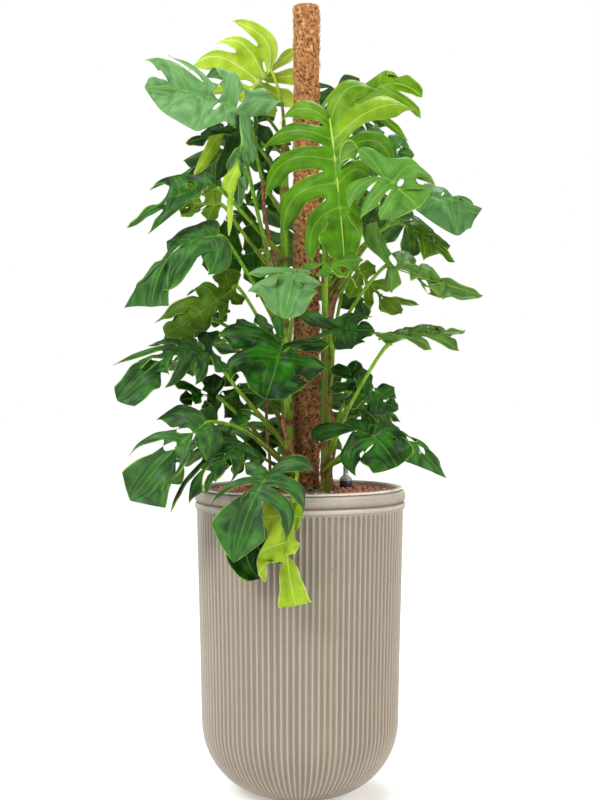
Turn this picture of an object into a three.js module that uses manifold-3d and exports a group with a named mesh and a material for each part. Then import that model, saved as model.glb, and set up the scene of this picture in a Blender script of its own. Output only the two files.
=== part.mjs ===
// Swiss cheese plant on a coir pole, in a ribbed planter. Millimetres, +Z up.
// The origin is the middle of the planter's flat foot. The front of the plant looks along -Y.
import * as THREE from 'three';
import { mergeVertices } from 'three/addons/utils/BufferGeometryUtils.js';
import Module from 'manifold-3d';

const wasm = await Module();
wasm.setup();

// Planter
const PLANTER_HEIGHT = 610;
const RIM_RADIUS = 210;
const WALL_RADIUS_TOP = 206;
const WALL_RADIUS_LOW = 196;
const TURN_RADIUS = 150; // rounding between wall and foot
const FOOT_CUT = 3; // how far the flat foot cuts into the rounding
const RIB_COUNT = 104;
const RIB_DEPTH = 3.4;
const OPENING_RADIUS = 192;
const FLOOR_THICKNESS = 16;
const RIM_DEPTH = 44; // from the top edge down into the ribbed wall
const RIM_SIDES = 52;
const CAVITY_SIDES = 32;

// Filling
const BED_TOP = 596;
const PEBBLE_RELIEF = 5;
const COVER_DEPTH = 18; // granules above the grower's pot
const GAP = 0.4; // between pieces that touch
const GROW_POT_RADIUS = 110;
const GROW_POT_FOOT = 94;
const GROW_POT_HEIGHT = 190;
const GROW_POT_WALL = 2;
const ROOT_DEPTH = 165; // how deep pole and stems stand in the root ball
const HOLE_CLEARANCE = 1;
const SLIVER = 0.1; // edges shorter than this are closed up

// Pole
const POLE = new THREE.Vector2(13, 0);
const POLE_RADIUS = 27;
const POLE_TOP = 1572;
const CORE_RADIUS = 12;
const CORE_TOP = 1560;

// Water gauge
const GAUGE = new THREE.Vector2(94, 89);
const GAUGE_RADIUS = 13;
const GAUGE_BORE = 10;
const GAUGE_TOP = 615;
const GAUGE_LENGTH = 190;
const GAUGE_FLOOR = 2;
const FLOAT_NEEDLE = 1.6;
const NECK_RADIUS = 5;
const NECK_TOP = 665;
const FLOAT_TOP = 627;

// Plant
const STEM_RADIUS = 11;
const PETIOLE_RADIUS = 3.6;
const BLADE = 1.1; // thickness of a leaf blade
const ROWS = [0, 0.3, 0.74, 1]; // from midrib to lobe tip
const CUT = 0.3; // how far from the midrib the lobes part
const LOBE_WIDTH = 27; // widest half of a lobe
const TIE_HEIGHT = 603;
const TIE_RADIUS = 64.6; // round the pole and all the stems
const TIE_WIRE = 1.8; // half its thickness
const EYE = new THREE.Vector3(0, -3100, 850); // the leaves are laid out as seen from here

const STEMS = {
  left: { foot: [-28, -8], top: [-32, -6], height: 1300 },
  front_left: { foot: [-21, -37], top: [-27, -40], height: 960 },
  right: { foot: [55, -8], top: [60, -6], height: 1060 },
  front_right: { foot: [47, -37], top: [50, -46], height: 1140 },
  back: { foot: [20, 43], top: [17, 44], height: 1330 },
};

// Each leaf: root is the height on its stem; at, mid and tip are points of its midrib; one and two
// are the tips of its lobes on either side, from the base. A point is [x, z, forward]: where it
// shows, from the eye, on the plane through the pole, and how far it stands in front of that plane.
// Two more numbers in a lobe are the x and z that it bends by. end is the half width of the end
// lobe on either side, and last is where along the midrib it starts.
const LEAVES = [
  { name: 'new_top', stem: 'left', root: 1280, at: [-59, 1440, -35], tip: [-121, 1380, 8],
    way: [-36, 1370, -15], end: [20, 20],
    one: [[-133, 1540, -35, -50, 1524], [-167, 1494, -25, -105, 1500], [-227, 1438, -10, -150, 1478],
      [-190, 1398, 5]],
    two: [[-9, 1484, -62], [6, 1436, -72], [-6, 1370, -66], [-50, 1350, -40]] },
  { name: 'top_left', stem: 'left', root: 1150, at: [-103, 1346, 60], mid: [-201, 1392, 92],
    tip: [-311, 1406, 112], way: [-74, 1220, 25], end: [24, 28], last: 0.72,
    one: [[-35, 1366, 40, -66, 1402], [-189, 1426, 45, -118, 1474], [-261, 1468, 66, -170, 1424],
      [-307, 1460, 96, -270, 1462]],
    two: [[-97, 1256, 100, -104, 1310], [-151, 1338, 112], [-207, 1316, 132], [-275, 1356, 130]],
    cutTwo: [0.3, 0.9, 0.9, 0.9] },
  { name: 'front_high', stem: 'front_right', root: 1100, at: [59, 1350, 150], mid: [77, 1202, 196],
    tip: [87, 1052, 180], way: [58, 1230, 80], end: [40, 34], last: 0.76,
    one: [[-37, 1334, 122, 4, 1392], [-73, 1282, 112, -26, 1346], [-67, 1186, 122, -52, 1296],
      [-30, 1112, 134, -38, 1216], [26, 1060, 146, 8, 1142]],
    two: [[151, 1400, 122, 84, 1436], [225, 1362, 144, 170, 1404], [183, 1254, 146, 152, 1346],
      [133, 1214, 168, 124, 1270], [119, 1098, 176, 122, 1160]] },
  { name: 'top_right', stem: 'right', root: 1040, at: [89, 1346, 60], tip: [245, 1388, 76],
    way: [80, 1200, 20], end: [16, 14],
    one: [[105, 1404, 40], [201, 1418, 52, 146, 1446]],
    two: [[169, 1290, 84, 130, 1330], [215, 1300, 90, 176, 1350]] },
  { name: 'right_behind', stem: 'back', root: 1160, at: [140, 1284, 26], tip: [229, 1272, 40],
    way: [90, 1240, 0], end: [16, 20],
    one: [[152, 1330, 14], [200, 1312, 20]],
    two: [[150, 1226, 34], [204, 1246, 44]] },
  { name: 'right_front', stem: 'front_right', root: 1020, at: [167, 1224, 222],
    tip: [241, 1168, 240], way: [120, 1160, 130], end: [22, 20], last: 0.66,
    one: [[83, 1258, 220, 112, 1322], [269, 1216, 205, 238, 1288], [297, 1220, 192, 246, 1232],
      [295, 1166, 198, 300, 1214]],
    two: [[99, 1166, 250, 106, 1228], [115, 1150, 256, 168, 1200], [175, 1124, 252, 196, 1172],
      [204, 1138, 250]] },
  { name: 'far_right', stem: 'right', root: 985, at: [249, 1188, 130], tip: [365, 1166, 110],
    way: [150, 1110, 75], end: [28, 34], last: 0.6,
    one: [[263, 1212, 100], [310, 1186, 92]], two: [[240, 1154, 150], [313, 1110, 128]],
    cutOne: [0.9, 0.9], cutTwo: [0.3, 0.9] },
  { name: 'right_dark', stem: 'right', root: 1000, at: [195, 1138, 50], tip: [311, 1058, 58],
    way: [130, 1096, 30], end: [14, 26], last: 0.5,
    one: [[249, 1128, 20], [299, 1090, 24]], two: [[231, 1082, 76], [247, 1064, 84]] },
  { name: 'right_long', stem: 'right', root: 870, at: [175, 1052, 140], mid: [250, 1044, 152],
    tip: [367, 992, 124], way: [104, 966, 60], end: [26, 34], last: 0.55,
    one: [[151, 1134, 112, 142, 1100], [216, 1084, 100], [259, 1062, 110]],
    two: [[185, 1000, 158], [236, 1028, 170], [285, 984, 156]] },
  { name: 'right_lit', stem: 'back', root: 900, at: [113, 1048, 40], tip: [203, 954, 84],
    way: [70, 980, -10], end: [22, 24], face: -1,
    one: [[150, 1050, 20], [190, 1012, 34], [236, 974, 44]],
    two: [[99, 988, 60], [141, 966, 74], [172, 960, 84]] },
  { name: 'right_mid', stem: 'right', root: 800, at: [62, 922, 96], tip: [150, 920, 110],
    way: [66, 862, 50], end: [22, 24], last: 0.5,
    one: [[-1, 956, 76], [141, 948, 100, 92, 962]], two: [[-17, 898, 104, 20, 890], [103, 886, 128]] },
  { name: 'front_shelf', stem: 'front_right', root: 930, at: [55, 1046, 205], tip: [89, 1030, 262],
    way: [52, 980, 110], end: [20, 20], last: 0.5,
    one: [[3, 1046, 206], [36, 1030, 244]], two: [[123, 1058, 204], [111, 1006, 246]] },
  { name: 'front_teal', stem: 'front_left', root: 880, at: [-7, 1042, 226], mid: [-20, 1000, 272],
    tip: [-31, 944, 286], way: [-14, 960, 100], end: [60, 56], last: 0.2,
    one: [[-135, 1030, 226], [-133, 986, 250]], two: [[22, 1032, 234], [40, 1012, 248]] },
  { name: 'front_mid', stem: 'front_left', root: 740, at: [-35, 892, 216], mid: [-50, 840, 262],
    tip: [-69, 784, 280], way: [-30, 810, 100], end: [62, 66], last: 0.36,
    one: [[-159, 910, 214, -100, 926], [-137, 820, 262, -168, 880]],
    two: [[57, 890, 200], [51, 846, 232]] },
  { name: 'mid_cut', stem: 'front_left', root: 770, at: [-30, 904, 140], tip: [-153, 918, 152],
    way: [-34, 840, 60], end: [14, 14],
    one: [[-50, 952, 112], [-86, 952, 118], [-124, 942, 128]],
    two: [[-66, 878, 166], [-100, 880, 172], [-136, 888, 170]] },
  { name: 'left_mid', stem: 'left', root: 690, at: [-175, 868, 120], mid: [-262, 876, 150],
    tip: [-365, 780, 158], way: [-122, 800, 80], end: [34, 40], last: 0.62,
    one: [[-169, 910, 92, -196, 922], [-301, 890, 108, -228, 920], [-371, 852, 122, -300, 892],
      [-329, 846, 140]],
    two: [[-151, 838, 132], [-209, 816, 152, -178, 858], [-269, 808, 172, -222, 860],
      [-262, 836, 168]] },
  { name: 'left_shade', stem: 'left', root: 650, at: [-169, 790, 50], tip: [-241, 782, 84],
    way: [-110, 740, 30], end: [18, 18],
    one: [[-171, 832, 44], [-251, 814, 66]], two: [[-177, 768, 72], [-209, 774, 84]] },
  { name: 'low_left', stem: 'front_left', root: 650, at: [-185, 738, 150], mid: [-241, 694, 178],
    tip: [-305, 586, 186], way: [-118, 724, 96], end: [44, 42], last: 0.42,
    one: [[-283, 742, 126, -230, 768], [-339, 672, 146, -296, 728]],
    two: [[-189, 664, 176, -170, 712], [-277, 602, 214, -218, 656]] },
  { name: 'low_left_strap', stem: 'left', root: 640, at: [-111, 694, 120], mid: [-158, 660, 172],
    tip: [-191, 594, 212], way: [-70, 664, 60], end: [16, 16], last: 0.55,
    one: [[-190, 690, 116], [-257, 562, 148, -240, 644], [-219, 578, 176, -205, 640]],
    two: [[-81, 660, 176], [-137, 618, 236, -96, 664], [-166, 618, 236]] },
  { name: 'front_low', stem: 'front_left', root: 632, at: [-61, 632, 232], mid: [-97, 572, 276],
    tip: [-133, 456, 282], way: [-36, 650, 140], end: [58, 52], last: 0.42,
    one: [[-110, 654, 222], [-175, 574, 250, -158, 628]],
    two: [[25, 640, 238, -6, 676], [1, 542, 276, 30, 620]] },
  { name: 'new_low', stem: 'front_left', root: 622, at: [-7, 574, 236], mid: [-16, 480, 246],
    tip: [-15, 370, 244], way: [0, 634, 180], end: [31, 31], last: 0.58,
    one: [[-77, 548, 230], [-69, 420, 234, -124, 486]], two: [[12, 540, 246], [0, 474, 252]] },
  { name: 'low_back_leaf', stem: 'front_left', root: 626, at: [-86, 560, 222], tip: [-80, 424, 220],
    way: [-66, 634, 170], end: [34, 40], last: 0.3,
    one: [[-120, 560, 218], [-158, 500, 214]], two: [[-64, 540, 216], [-40, 456, 218]] },
  { name: 'low_right', stem: 'front_right', root: 640, at: [131, 716, 190], mid: [164, 694, 224],
    tip: [195, 648, 240], way: [90, 680, 110], end: [40, 56], last: 0.36,
    one: [[110, 742, 150], [213, 702, 186, 188, 748]], two: [[27, 700, 176, 40, 736],
      [111, 632, 226, 76, 690]] },
  { name: 'far_low_right', stem: 'right', root: 650, at: [183, 718, 120], tip: [293, 626, 150],
    way: [120, 680, 60], end: [22, 20], last: 0.5,
    one: [[219, 704, 96], [271, 664, 118]], two: [[197, 662, 146], [229, 650, 152]] },
  { name: 'right_small', stem: 'right', root: 690, at: [100, 800, 80], tip: [113, 862, 70],
    way: [72, 740, 50], end: [16, 18],
    one: [[61, 806, 90], [60, 842, 84]], two: [[130, 800, 84], [135, 838, 76]] },
  { name: 'right_curl', stem: 'front_right', root: 700, at: [119, 792, 112], tip: [197, 764, 128],
    way: [80, 748, 70], end: [20, 22],
    one: [[126, 842, 80], [186, 806, 100]], two: [[92, 770, 128], [150, 752, 142]] },
  { name: 'right_flat', stem: 'front_right', root: 650, at: [175, 892, 116], tip: [331, 936, 92],
    way: [104, 778, 158], end: [18, 22], last: 0.56,
    one: [[169, 914, 92], [219, 928, 74], [279, 940, 70]],
    two: [[143, 914, 132], [261, 884, 132], [315, 880, 128]] },
  { name: 'left_high', stem: 'left', root: 1060, at: [-165, 1206, 150], mid: [-260, 1182, 176],
    tip: [-347, 1128, 180], way: [-100, 1140, 80], end: [20, 14],
    one: [[-190, 1248, 116], [-297, 1202, 112, -246, 1262], [-321, 1156, 150]],
    two: [[-201, 1152, 196], [-247, 1138, 212], [-305, 1114, 204]] },
  { name: 'left_lit', stem: 'left', root: 1010, at: [-157, 1172, 70], tip: [-261, 1186, 84],
    way: [-110, 1110, 40], end: [24, 26], face: -1,
    one: [[-176, 1210, 50], [-230, 1216, 60]], two: [[-185, 1144, 90], [-235, 1150, 98]] },
  { name: 'upper_dark', stem: 'left', root: 1200, at: [-111, 1318, 10], tip: [-229, 1296, 30],
    way: [-70, 1270, 0], end: [12, 16],
    one: [[-130, 1352, -10], [-173, 1334, 0]],
    two: [[-171, 1222, 50, -140, 1270], [-211, 1230, 62, -166, 1300]] },
  { name: 'upper_hanging', stem: 'front_left', root: 930, at: [-125, 1276, 112],
    tip: [-133, 1164, 152], way: [-76, 1120, 70], end: [20, 20], last: 0.3,
    one: [[-150, 1250, 104], [-145, 1108, 160, -160, 1206]],
    two: [[-98, 1250, 120], [-104, 1180, 140]] },
  { name: 'left_big', stem: 'left', root: 900, at: [-157, 1110, 160], mid: [-241, 1066, 196],
    tip: [-305, 970, 206], way: [-90, 1010, 80], end: [38, 42], last: 0.6,
    one: [[-196, 1136, 130], [-257, 1092, 140]],
    two: [[-183, 1034, 200, -146, 1080], [-269, 1000, 226, -217, 1058]], cutOne: [0.9, 0.9] },
  { name: 'left_under', stem: 'left', root: 840, at: [-129, 1010, 84], tip: [-271, 914, 124],
    way: [-80, 940, 50], end: [32, 38], face: -1,
    one: [[-150, 1044, 64], [-227, 994, 70, -196, 1040], [-291, 940, 88, -236, 992]],
    two: [[-118, 976, 110], [-165, 940, 118, -140, 980], [-188, 922, 126]] },
  { name: 'centre_dark', stem: 'back', root: 1010, at: [-77, 1082, 0], tip: [-196, 1052, 20],
    way: [-40, 1050, -20], end: [26, 26], face: -1,
    one: [[-92, 1140, -20], [-150, 1140, -10]], two: [[-90, 1010, 16], [-146, 1000, 26]] },
];

// Leaves at the back and inside are laid out by rule: width is their span, and lobes the count on
// either side.
const RULED_LEAVES = [
  { name: 'back_top', stem: 'back', root: 1290, at: [70, 1400, -120], tip: [120, 1300, -250],
    width: 220, lobes: 4 },
  { name: 'back_left_high', stem: 'back', root: 1220, at: [-110, 1300, -130],
    tip: [-230, 1200, -210], width: 220, lobes: 4 },
  { name: 'back_right_high', stem: 'back', root: 1090, at: [160, 1170, -120],
    tip: [270, 1080, -200], width: 210, lobes: 4 },
  { name: 'back_mid', stem: 'back', root: 980, at: [0, 1120, -190], tip: [-20, 990, -310],
    width: 250, lobes: 4 },
  { name: 'back_left', stem: 'back', root: 830, at: [-160, 900, -130], tip: [-260, 840, -200],
    width: 170, lobes: 4 },
  { name: 'back_right', stem: 'back', root: 780, at: [96, 800, -130], tip: [180, 730, -210],
    width: 150, lobes: 4 },
  { name: 'back_low', stem: 'back', root: 680, at: [10, 800, -200], tip: [20, 680, -320],
    width: 230, lobes: 4 },
  { name: 'back_low_left', stem: 'back', root: 630, at: [-110, 730, -150], tip: [-230, 650, -240],
    width: 200, lobes: 4 },
  { name: 'left_dark', stem: 'left', root: 800, at: [-180, 944, 6], tip: [-284, 896, 26],
    width: 130, lobes: 3 },
  { name: 'low_shade', stem: 'back', root: 700, at: [-104, 800, -20], tip: [-206, 752, 10],
    width: 150, lobes: 3 },
  { name: 'inner_low', stem: 'back', root: 630, at: [-70, 704, -44], tip: [-154, 646, -34],
    width: 120, lobes: 3 },
  { name: 'low_right_back', stem: 'back', root: 650, at: [108, 752, -24], tip: [208, 708, -6],
    width: 150, lobes: 3 },
  { name: 'left_core', stem: 'back', root: 1120, at: [-96, 1180, -58], tip: [-146, 1126, -36],
    width: 110, lobes: 3 },
  { name: 'right_core', stem: 'right', root: 940, at: [124, 1190, -34], tip: [176, 1124, -14],
    width: 130, lobes: 3 },
  { name: 'right_mid_core', stem: 'right', root: 820, at: [92, 1016, -64], tip: [136, 944, -44],
    width: 110, lobes: 3 },
];

const up = new THREE.Vector3(0, 0, 1);

function random(seed) {
  let state = seed;
  return () => {
    state = (state * 1664525 + 1013904223) % 4294967296;
    return state / 4294967296;
  };
}

function solid(geometry) {
  const bare = geometry.clone();
  bare.deleteAttribute('normal');
  bare.deleteAttribute('uv');
  const merged = mergeVertices(bare, 1e-4);
  return new wasm.Manifold(new wasm.Mesh({
    numProp: 3,
    vertProperties: new Float32Array(merged.attributes.position.array),
    triVerts: new Uint32Array(merged.index.array),
  }));
}

// The one body that is left, with its slivers closed up
function cleaned(body) {
  let whole = body.decompose().sort((a, b) => b.volume() - a.volume())[0];
  for (let pass = 0; pass < 3; pass += 1) whole = whole.asOriginal().simplify(SLIVER);
  return whole;
}

function skin(body) {
  const mesh = cleaned(body).getMesh();
  const geometry = new THREE.BufferGeometry();
  geometry.setAttribute('position', new THREE.BufferAttribute(mesh.vertProperties, 3));
  geometry.setIndex(new THREE.BufferAttribute(mesh.triVerts, 1));
  geometry.computeVertexNormals();
  return geometry;
}

// A profile of [radius, height] turned round a vertical axis at centre
function turned(profile, sides, centre = new THREE.Vector2()) {
  const points = profile.map(([radius, height]) => new THREE.Vector2(radius, height));
  const geometry = new THREE.LatheGeometry(points, sides);
  geometry.rotateX(Math.PI / 2);
  geometry.translate(centre.x, centre.y, 0);
  return geometry;
}

function turnedSolid(profile, sides, centre) {
  const body = solid(turned(profile, sides, centre));
  if (body.volume() > 0) return body;
  return solid(turned([...profile].reverse(), sides, centre));
}

function rod(radius, low, high, sides, centre) {
  return turnedSolid([[0, low], [radius, low], [radius, high], [0, high]], sides, centre);
}

function tube(points, radius, sides, steps) {
  const section = new THREE.Shape();
  for (let i = 0; i < sides; i += 1) {
    const angle = (i / sides) * 2 * Math.PI;
    const corner = [radius * Math.cos(angle), radius * Math.sin(angle)];
    if (i === 0) section.moveTo(...corner);
    else section.lineTo(...corner);
  }
  section.closePath();
  const extrudePath = new THREE.CatmullRomCurve3(points);
  return solid(new THREE.ExtrudeGeometry(section, { steps, extrudePath, curveSegments: 1 }));
}

// Planter

function wallProfile() {
  const centre = WALL_RADIUS_LOW - TURN_RADIUS;
  const level = TURN_RADIUS - FOOT_CUT;
  const start = -Math.acos(0) + Math.acos(level / TURN_RADIUS);
  const bands = 3;
  const points = [[0, 0]];
  for (let i = 0; i <= bands; i += 1) {
    const angle = start * (1 - i / bands);
    points.push([centre + TURN_RADIUS * Math.cos(angle), level + TURN_RADIUS * Math.sin(angle)]);
  }
  points[1][1] = 0;
  const top = PLANTER_HEIGHT - RIM_DEPTH + 8;
  points.push([WALL_RADIUS_TOP, top], [0, top]);
  return points;
}

function ribbedBody() {
  const columns = 2 * RIB_COUNT;
  const geometry = turned(wallProfile(), columns);
  const position = geometry.attributes.position;
  for (let i = 0; i < position.count; i += 1) {
    const x = position.getX(i);
    const y = position.getY(i);
    const radius = Math.hypot(x, y);
    const column = Math.round((Math.atan2(y, x) / (2 * Math.PI)) * columns + columns);
    if (radius > 1 && column % 2 === 1) {
      const scale = (radius - RIB_DEPTH) / radius;
      position.setXY(i, x * scale, y * scale);
    }
  }
  return solid(geometry);
}

function rimProfile() {
  const top = PLANTER_HEIGHT;
  const inner = OPENING_RADIUS;
  return [
    [inner - 8, top - RIM_DEPTH], [WALL_RADIUS_TOP - 5, top - RIM_DEPTH],
    [RIM_RADIUS - 0.5, top - 39], [RIM_RADIUS - 0.5, top - 32], [RIM_RADIUS - 3.5, top - 29],
    [RIM_RADIUS, top - 22], [RIM_RADIUS, top - 12], [RIM_RADIUS - 3, top - 6],
    [RIM_RADIUS - 4, top], [inner - 8, top],
  ];
}

function cavityProfile(inset, top) {
  return [
    [0, FLOOR_THICKNESS + inset], [62, FLOOR_THICKNESS + inset], [118 - inset, 42 + inset],
    [160 - inset, 86 + inset], [180 - inset, 150], [OPENING_RADIUS - 2 - inset, 540],
    [OPENING_RADIUS - 2 - inset, top], [0, top],
  ];
}

function planter() {
  const rimTurns = rimProfile();
  const rim = turnedSolid([...rimTurns, rimTurns[0]], RIM_SIDES);
  const cavity = turnedSolid(cavityProfile(0, PLANTER_HEIGHT + 10), CAVITY_SIDES);
  return ribbedBody().add(rim).subtract(cavity);
}

// Filling

// The top of the granules: rings of points, each raised or sunk by a seeded draw
function pebbled(profile, seed) {
  const geometry = turned(profile, CAVITY_SIDES);
  geometry.deleteAttribute('uv');
  geometry.deleteAttribute('normal');
  const merged = mergeVertices(geometry, 1e-3);
  const draw = random(seed);
  const position = merged.attributes.position;
  for (let i = 0; i < position.count; i += 1) {
    const isTop = Math.abs(position.getZ(i) - BED_TOP) < 0.01;
    if (isTop) position.setZ(i, BED_TOP - PEBBLE_RELIEF * draw());
  }
  return solid(merged);
}

const coverRadius = GROW_POT_RADIUS + 6;
const potTop = BED_TOP - COVER_DEPTH;
const potFloor = potTop - GROW_POT_HEIGHT;
const rootFloor = BED_TOP - ROOT_DEPTH;
const gaugeFoot = GAUGE_TOP - GAUGE_LENGTH;

function bed() {
  const bowl = cavityProfile(GAP, BED_TOP).slice(0, -1);
  const inner = coverRadius + GAP;
  const band = (OPENING_RADIUS - coverRadius) / 4;
  const rings = [3, 2, 1, 0].map((i) => [inner + band * i, BED_TOP]);
  const pocket = [
    [inner, potTop], [GROW_POT_RADIUS + GAP, potTop], [GROW_POT_FOOT + GAP, potFloor - GAP],
    [0, potFloor - GAP],
  ];
  const body = pebbled([...bowl, ...rings, ...pocket], 5);
  return body.subtract(rod(GAUGE_RADIUS + GAP, gaugeFoot - GAP, BED_TOP + 5, 12, GAUGE));
}

function growPot() {
  const wall = GROW_POT_WALL;
  const profile = [
    [0, potFloor], [GROW_POT_FOOT, potFloor], [GROW_POT_RADIUS, potTop],
    [GROW_POT_RADIUS - wall, potTop], [GROW_POT_FOOT - wall, potFloor + wall], [0, potFloor + wall],
  ];
  return turnedSolid(profile, CAVITY_SIDES);
}

function standing(body, top) {
  let cut = body.subtract(rod(POLE_RADIUS + HOLE_CLEARANCE, rootFloor - GAP, top, 14, POLE));
  for (const { foot } of Object.values(STEMS)) {
    const place = new THREE.Vector2(...foot);
    cut = cut.subtract(rod(STEM_RADIUS + HOLE_CLEARANCE + 0.6, rootFloor - GAP, top, 8, place));
  }
  return cut;
}

function rootBall() {
  const gap = GROW_POT_WALL + GAP;
  const profile = [
    [0, potFloor + gap], [GROW_POT_FOOT - gap, potFloor + gap], [GROW_POT_RADIUS - gap, potTop - GAP],
    [0, potTop - GAP],
  ];
  return standing(turnedSolid(profile, CAVITY_SIDES), potTop + 5);
}

function cover() {
  const steps = 4;
  const rings = [];
  for (let i = 0; i < steps; i += 1) rings.push([coverRadius * (1 - i / steps), BED_TOP]);
  const profile = [[0, potTop + GAP], [coverRadius, potTop + GAP], ...rings, [0, BED_TOP]];
  return standing(pebbled(profile, 9), BED_TOP + 5);
}

// Pole

function coirPole() {
  const rows = 12;
  const low = rootFloor;
  const profile = [[CORE_RADIUS, low], [POLE_RADIUS - 1, low]];
  for (let i = 1; i < rows; i += 1) {
    const swell = i % 2 === 0 ? 0 : 1.2;
    profile.push([POLE_RADIUS - swell, low + ((POLE_TOP - low) * i) / rows]);
  }
  profile.push([POLE_RADIUS - 2, POLE_TOP], [CORE_RADIUS, POLE_TOP], [CORE_RADIUS, low]);
  return turnedSolid(profile, 12, POLE);
}

// Water gauge

function gaugeTube() {
  return turnedSolid([
    [0, gaugeFoot], [GAUGE_RADIUS, gaugeFoot], [GAUGE_RADIUS, GAUGE_TOP - 1],
    [GAUGE_BORE, GAUGE_TOP - 1], [GAUGE_BORE, gaugeFoot + GAUGE_FLOOR], [0, gaugeFoot + GAUGE_FLOOR],
  ], 12, GAUGE);
}

function gaugeCap() {
  const wall = 1.2;
  return turnedSolid([
    [GAUGE_RADIUS - 2, GAUGE_TOP - 0.6], [GAUGE_RADIUS, GAUGE_TOP - 0.6],
    [GAUGE_RADIUS - 0.5, GAUGE_TOP + 3], [NECK_RADIUS + 3, GAUGE_TOP + 8],
    [NECK_RADIUS, GAUGE_TOP + 12], [NECK_RADIUS, NECK_TOP - 2], [NECK_RADIUS - 2, NECK_TOP],
    [0, NECK_TOP], [0, NECK_TOP - wall], [NECK_RADIUS - wall, NECK_TOP - 3],
    [NECK_RADIUS - wall, GAUGE_TOP + 11], [NECK_RADIUS + 2, GAUGE_TOP + 7],
    [GAUGE_RADIUS - 2, GAUGE_TOP + 2], [GAUGE_RADIUS - 2, GAUGE_TOP - 0.6],
  ], 12, GAUGE);
}

function gaugeFloat() {
  const low = gaugeFoot + GAUGE_FLOOR + GAP;
  const radius = GAUGE_BORE - 2;
  return turnedSolid([
    [0, low], [radius, low], [radius, low + 30], [FLOAT_NEEDLE, low + 36],
    [FLOAT_NEEDLE, FLOAT_TOP], [0, FLOAT_TOP],
  ], 10, GAUGE);
}

// Plant

function seen([x, z, forward]) {
  const scale = 1 + forward / EYE.y;
  return new THREE.Vector3(x * scale, -forward, EYE.z + (z - EYE.z) * scale);
}

function outward(point) {
  return new THREE.Vector3(point.x - POLE.x, point.y - POLE.y, 0).normalize().addScaledVector(up, 0.5);
}

function midribCurve(leaf, at, tip, normal) {
  const control = at.clone().add(tip).multiplyScalar(0.5);
  if (leaf.mid) control.lerp(seen(leaf.mid), 2);
  else control.addScaledVector(normal, 0.12 * at.distanceTo(tip));
  return new THREE.QuadraticBezierCurve3(at, control, tip);
}

// A regular leaf: lobes fan out from behind the stalk to beside the end lobe, and droop
function regularLobes(leaf, at, tip) {
  const along = tip.clone().sub(at).normalize();
  const side = along.clone().cross(outward(at)).normalize();
  const normal = side.clone().cross(along).normalize();
  const length = at.distanceTo(tip);
  const lobes = (sign) => Array.from({ length: leaf.lobes }, (_, k) => {
    const part = k / (leaf.lobes - 1);
    const angle = THREE.MathUtils.degToRad(126 - 80 * part);
    const reach = 0.5 * leaf.width * (0.86 + 0.3 * part - 0.34 * part * part);
    return at.clone()
      .addScaledVector(along, 0.55 * part * length + reach * Math.cos(angle))
      .addScaledVector(side, sign * reach * Math.sin(angle))
      .addScaledVector(normal, -0.22 * reach);
  });
  return { one: lobes(1), two: lobes(-1), normal };
}

function leafFrame(leaf) {
  const at = seen(leaf.at);
  const tip = seen(leaf.tip);
  if (leaf.lobes) return { at, tip, ...regularLobes(leaf, at, tip) };
  const mean = (list) => list.reduce((sum, p) => sum.add(p), new THREE.Vector3())
    .divideScalar(list.length);
  const one = leaf.one.map(seen);
  const two = leaf.two.map(seen);
  const normal = mean(two).sub(mean(one)).cross(tip.clone().sub(at)).normalize();
  if (normal.dot(outward(at.clone().lerp(tip, 0.5))) * (leaf.face ?? 1) < 0) normal.negate();
  return { at, tip, one, two, normal };
}

function lobeCurve(leaf, midrib, frame, side, k, bounds) {
  const root = midrib.getPoint((bounds[k] + bounds[k + 1]) / 2);
  const tip = frame[side][k];
  const reach = root.distanceTo(tip);
  const control = root.clone().lerp(tip, 0.5).addScaledVector(frame.normal, 0.16 * reach);
  const bend = leaf[side]?.[k].slice(3) ?? [];
  if (bend.length) {
    const forward = (-root.y + leaf[side][k][2]) / 2;
    control.copy(seen([...bend, forward + 0.08 * reach]));
  }
  return new THREE.QuadraticBezierCurve3(root, control, tip);
}

// How full a lobe is at a row, on the side towards the base and on the side towards the leaf tip
const FULLNESS = { base: [1, 1, 0.86, 0], apex: [1, 1, 1, 0] };
const END_FULLNESS = [0, 0.82, 0.94, 0];

function sideNodes(leaf, midrib, frame, side, bounds) {
  const count = frame[side].length;
  const cuts = leaf[side === 'one' ? 'cutOne' : 'cutTwo'] ?? [];
  const end = (leaf.end ?? [24, 24])[side === 'one' ? 0 : 1];
  const start = bounds[count];
  const curves = bounds.slice(0, count).map((_, k) => lobeCurve(leaf, midrib, frame, side, k, bounds));
  const centre = (k, r) => {
    if (k < count) return curves[k].getPoint(r);
    const s = start + r * (1 - start);
    const across = curves[count - 1].getPoint(0.5).sub(midrib.getPoint(start));
    const tangent = midrib.getTangent(Math.min(s, 0.999));
    across.addScaledVector(tangent, -across.dot(tangent)).normalize();
    return { spine: midrib.getPoint(s), across };
  };
  const endMargin = (row) => {
    const { spine, across } = centre(count, ROWS[row]);
    return spine.addScaledVector(across, end * END_FULLNESS[row]);
  };
  const margin = (k, row, towards) => {
    const r = ROWS[row];
    const middle = centre(k, r);
    const other = towards === 'apex' ? k + 1 : k - 1;
    const partner = other < 0 ? 1 : other;
    const next = partner >= count ? endMargin(row) : centre(partner, r);
    const tangent = curves[k].getTangent(r);
    const across = next.clone().sub(middle);
    across.addScaledVector(tangent, -across.dot(tangent));
    const room = across.length() * (partner >= count ? 0.92 : 0.47);
    across.normalize().multiplyScalar(other < 0 ? -1 : 1);
    const half = Math.min(room, leaf.wide ?? LOBE_WIDTH) * FULLNESS[towards][row];
    return middle.addScaledVector(across, half);
  };
  return { count, cuts, margin, endMargin };
}

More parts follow.
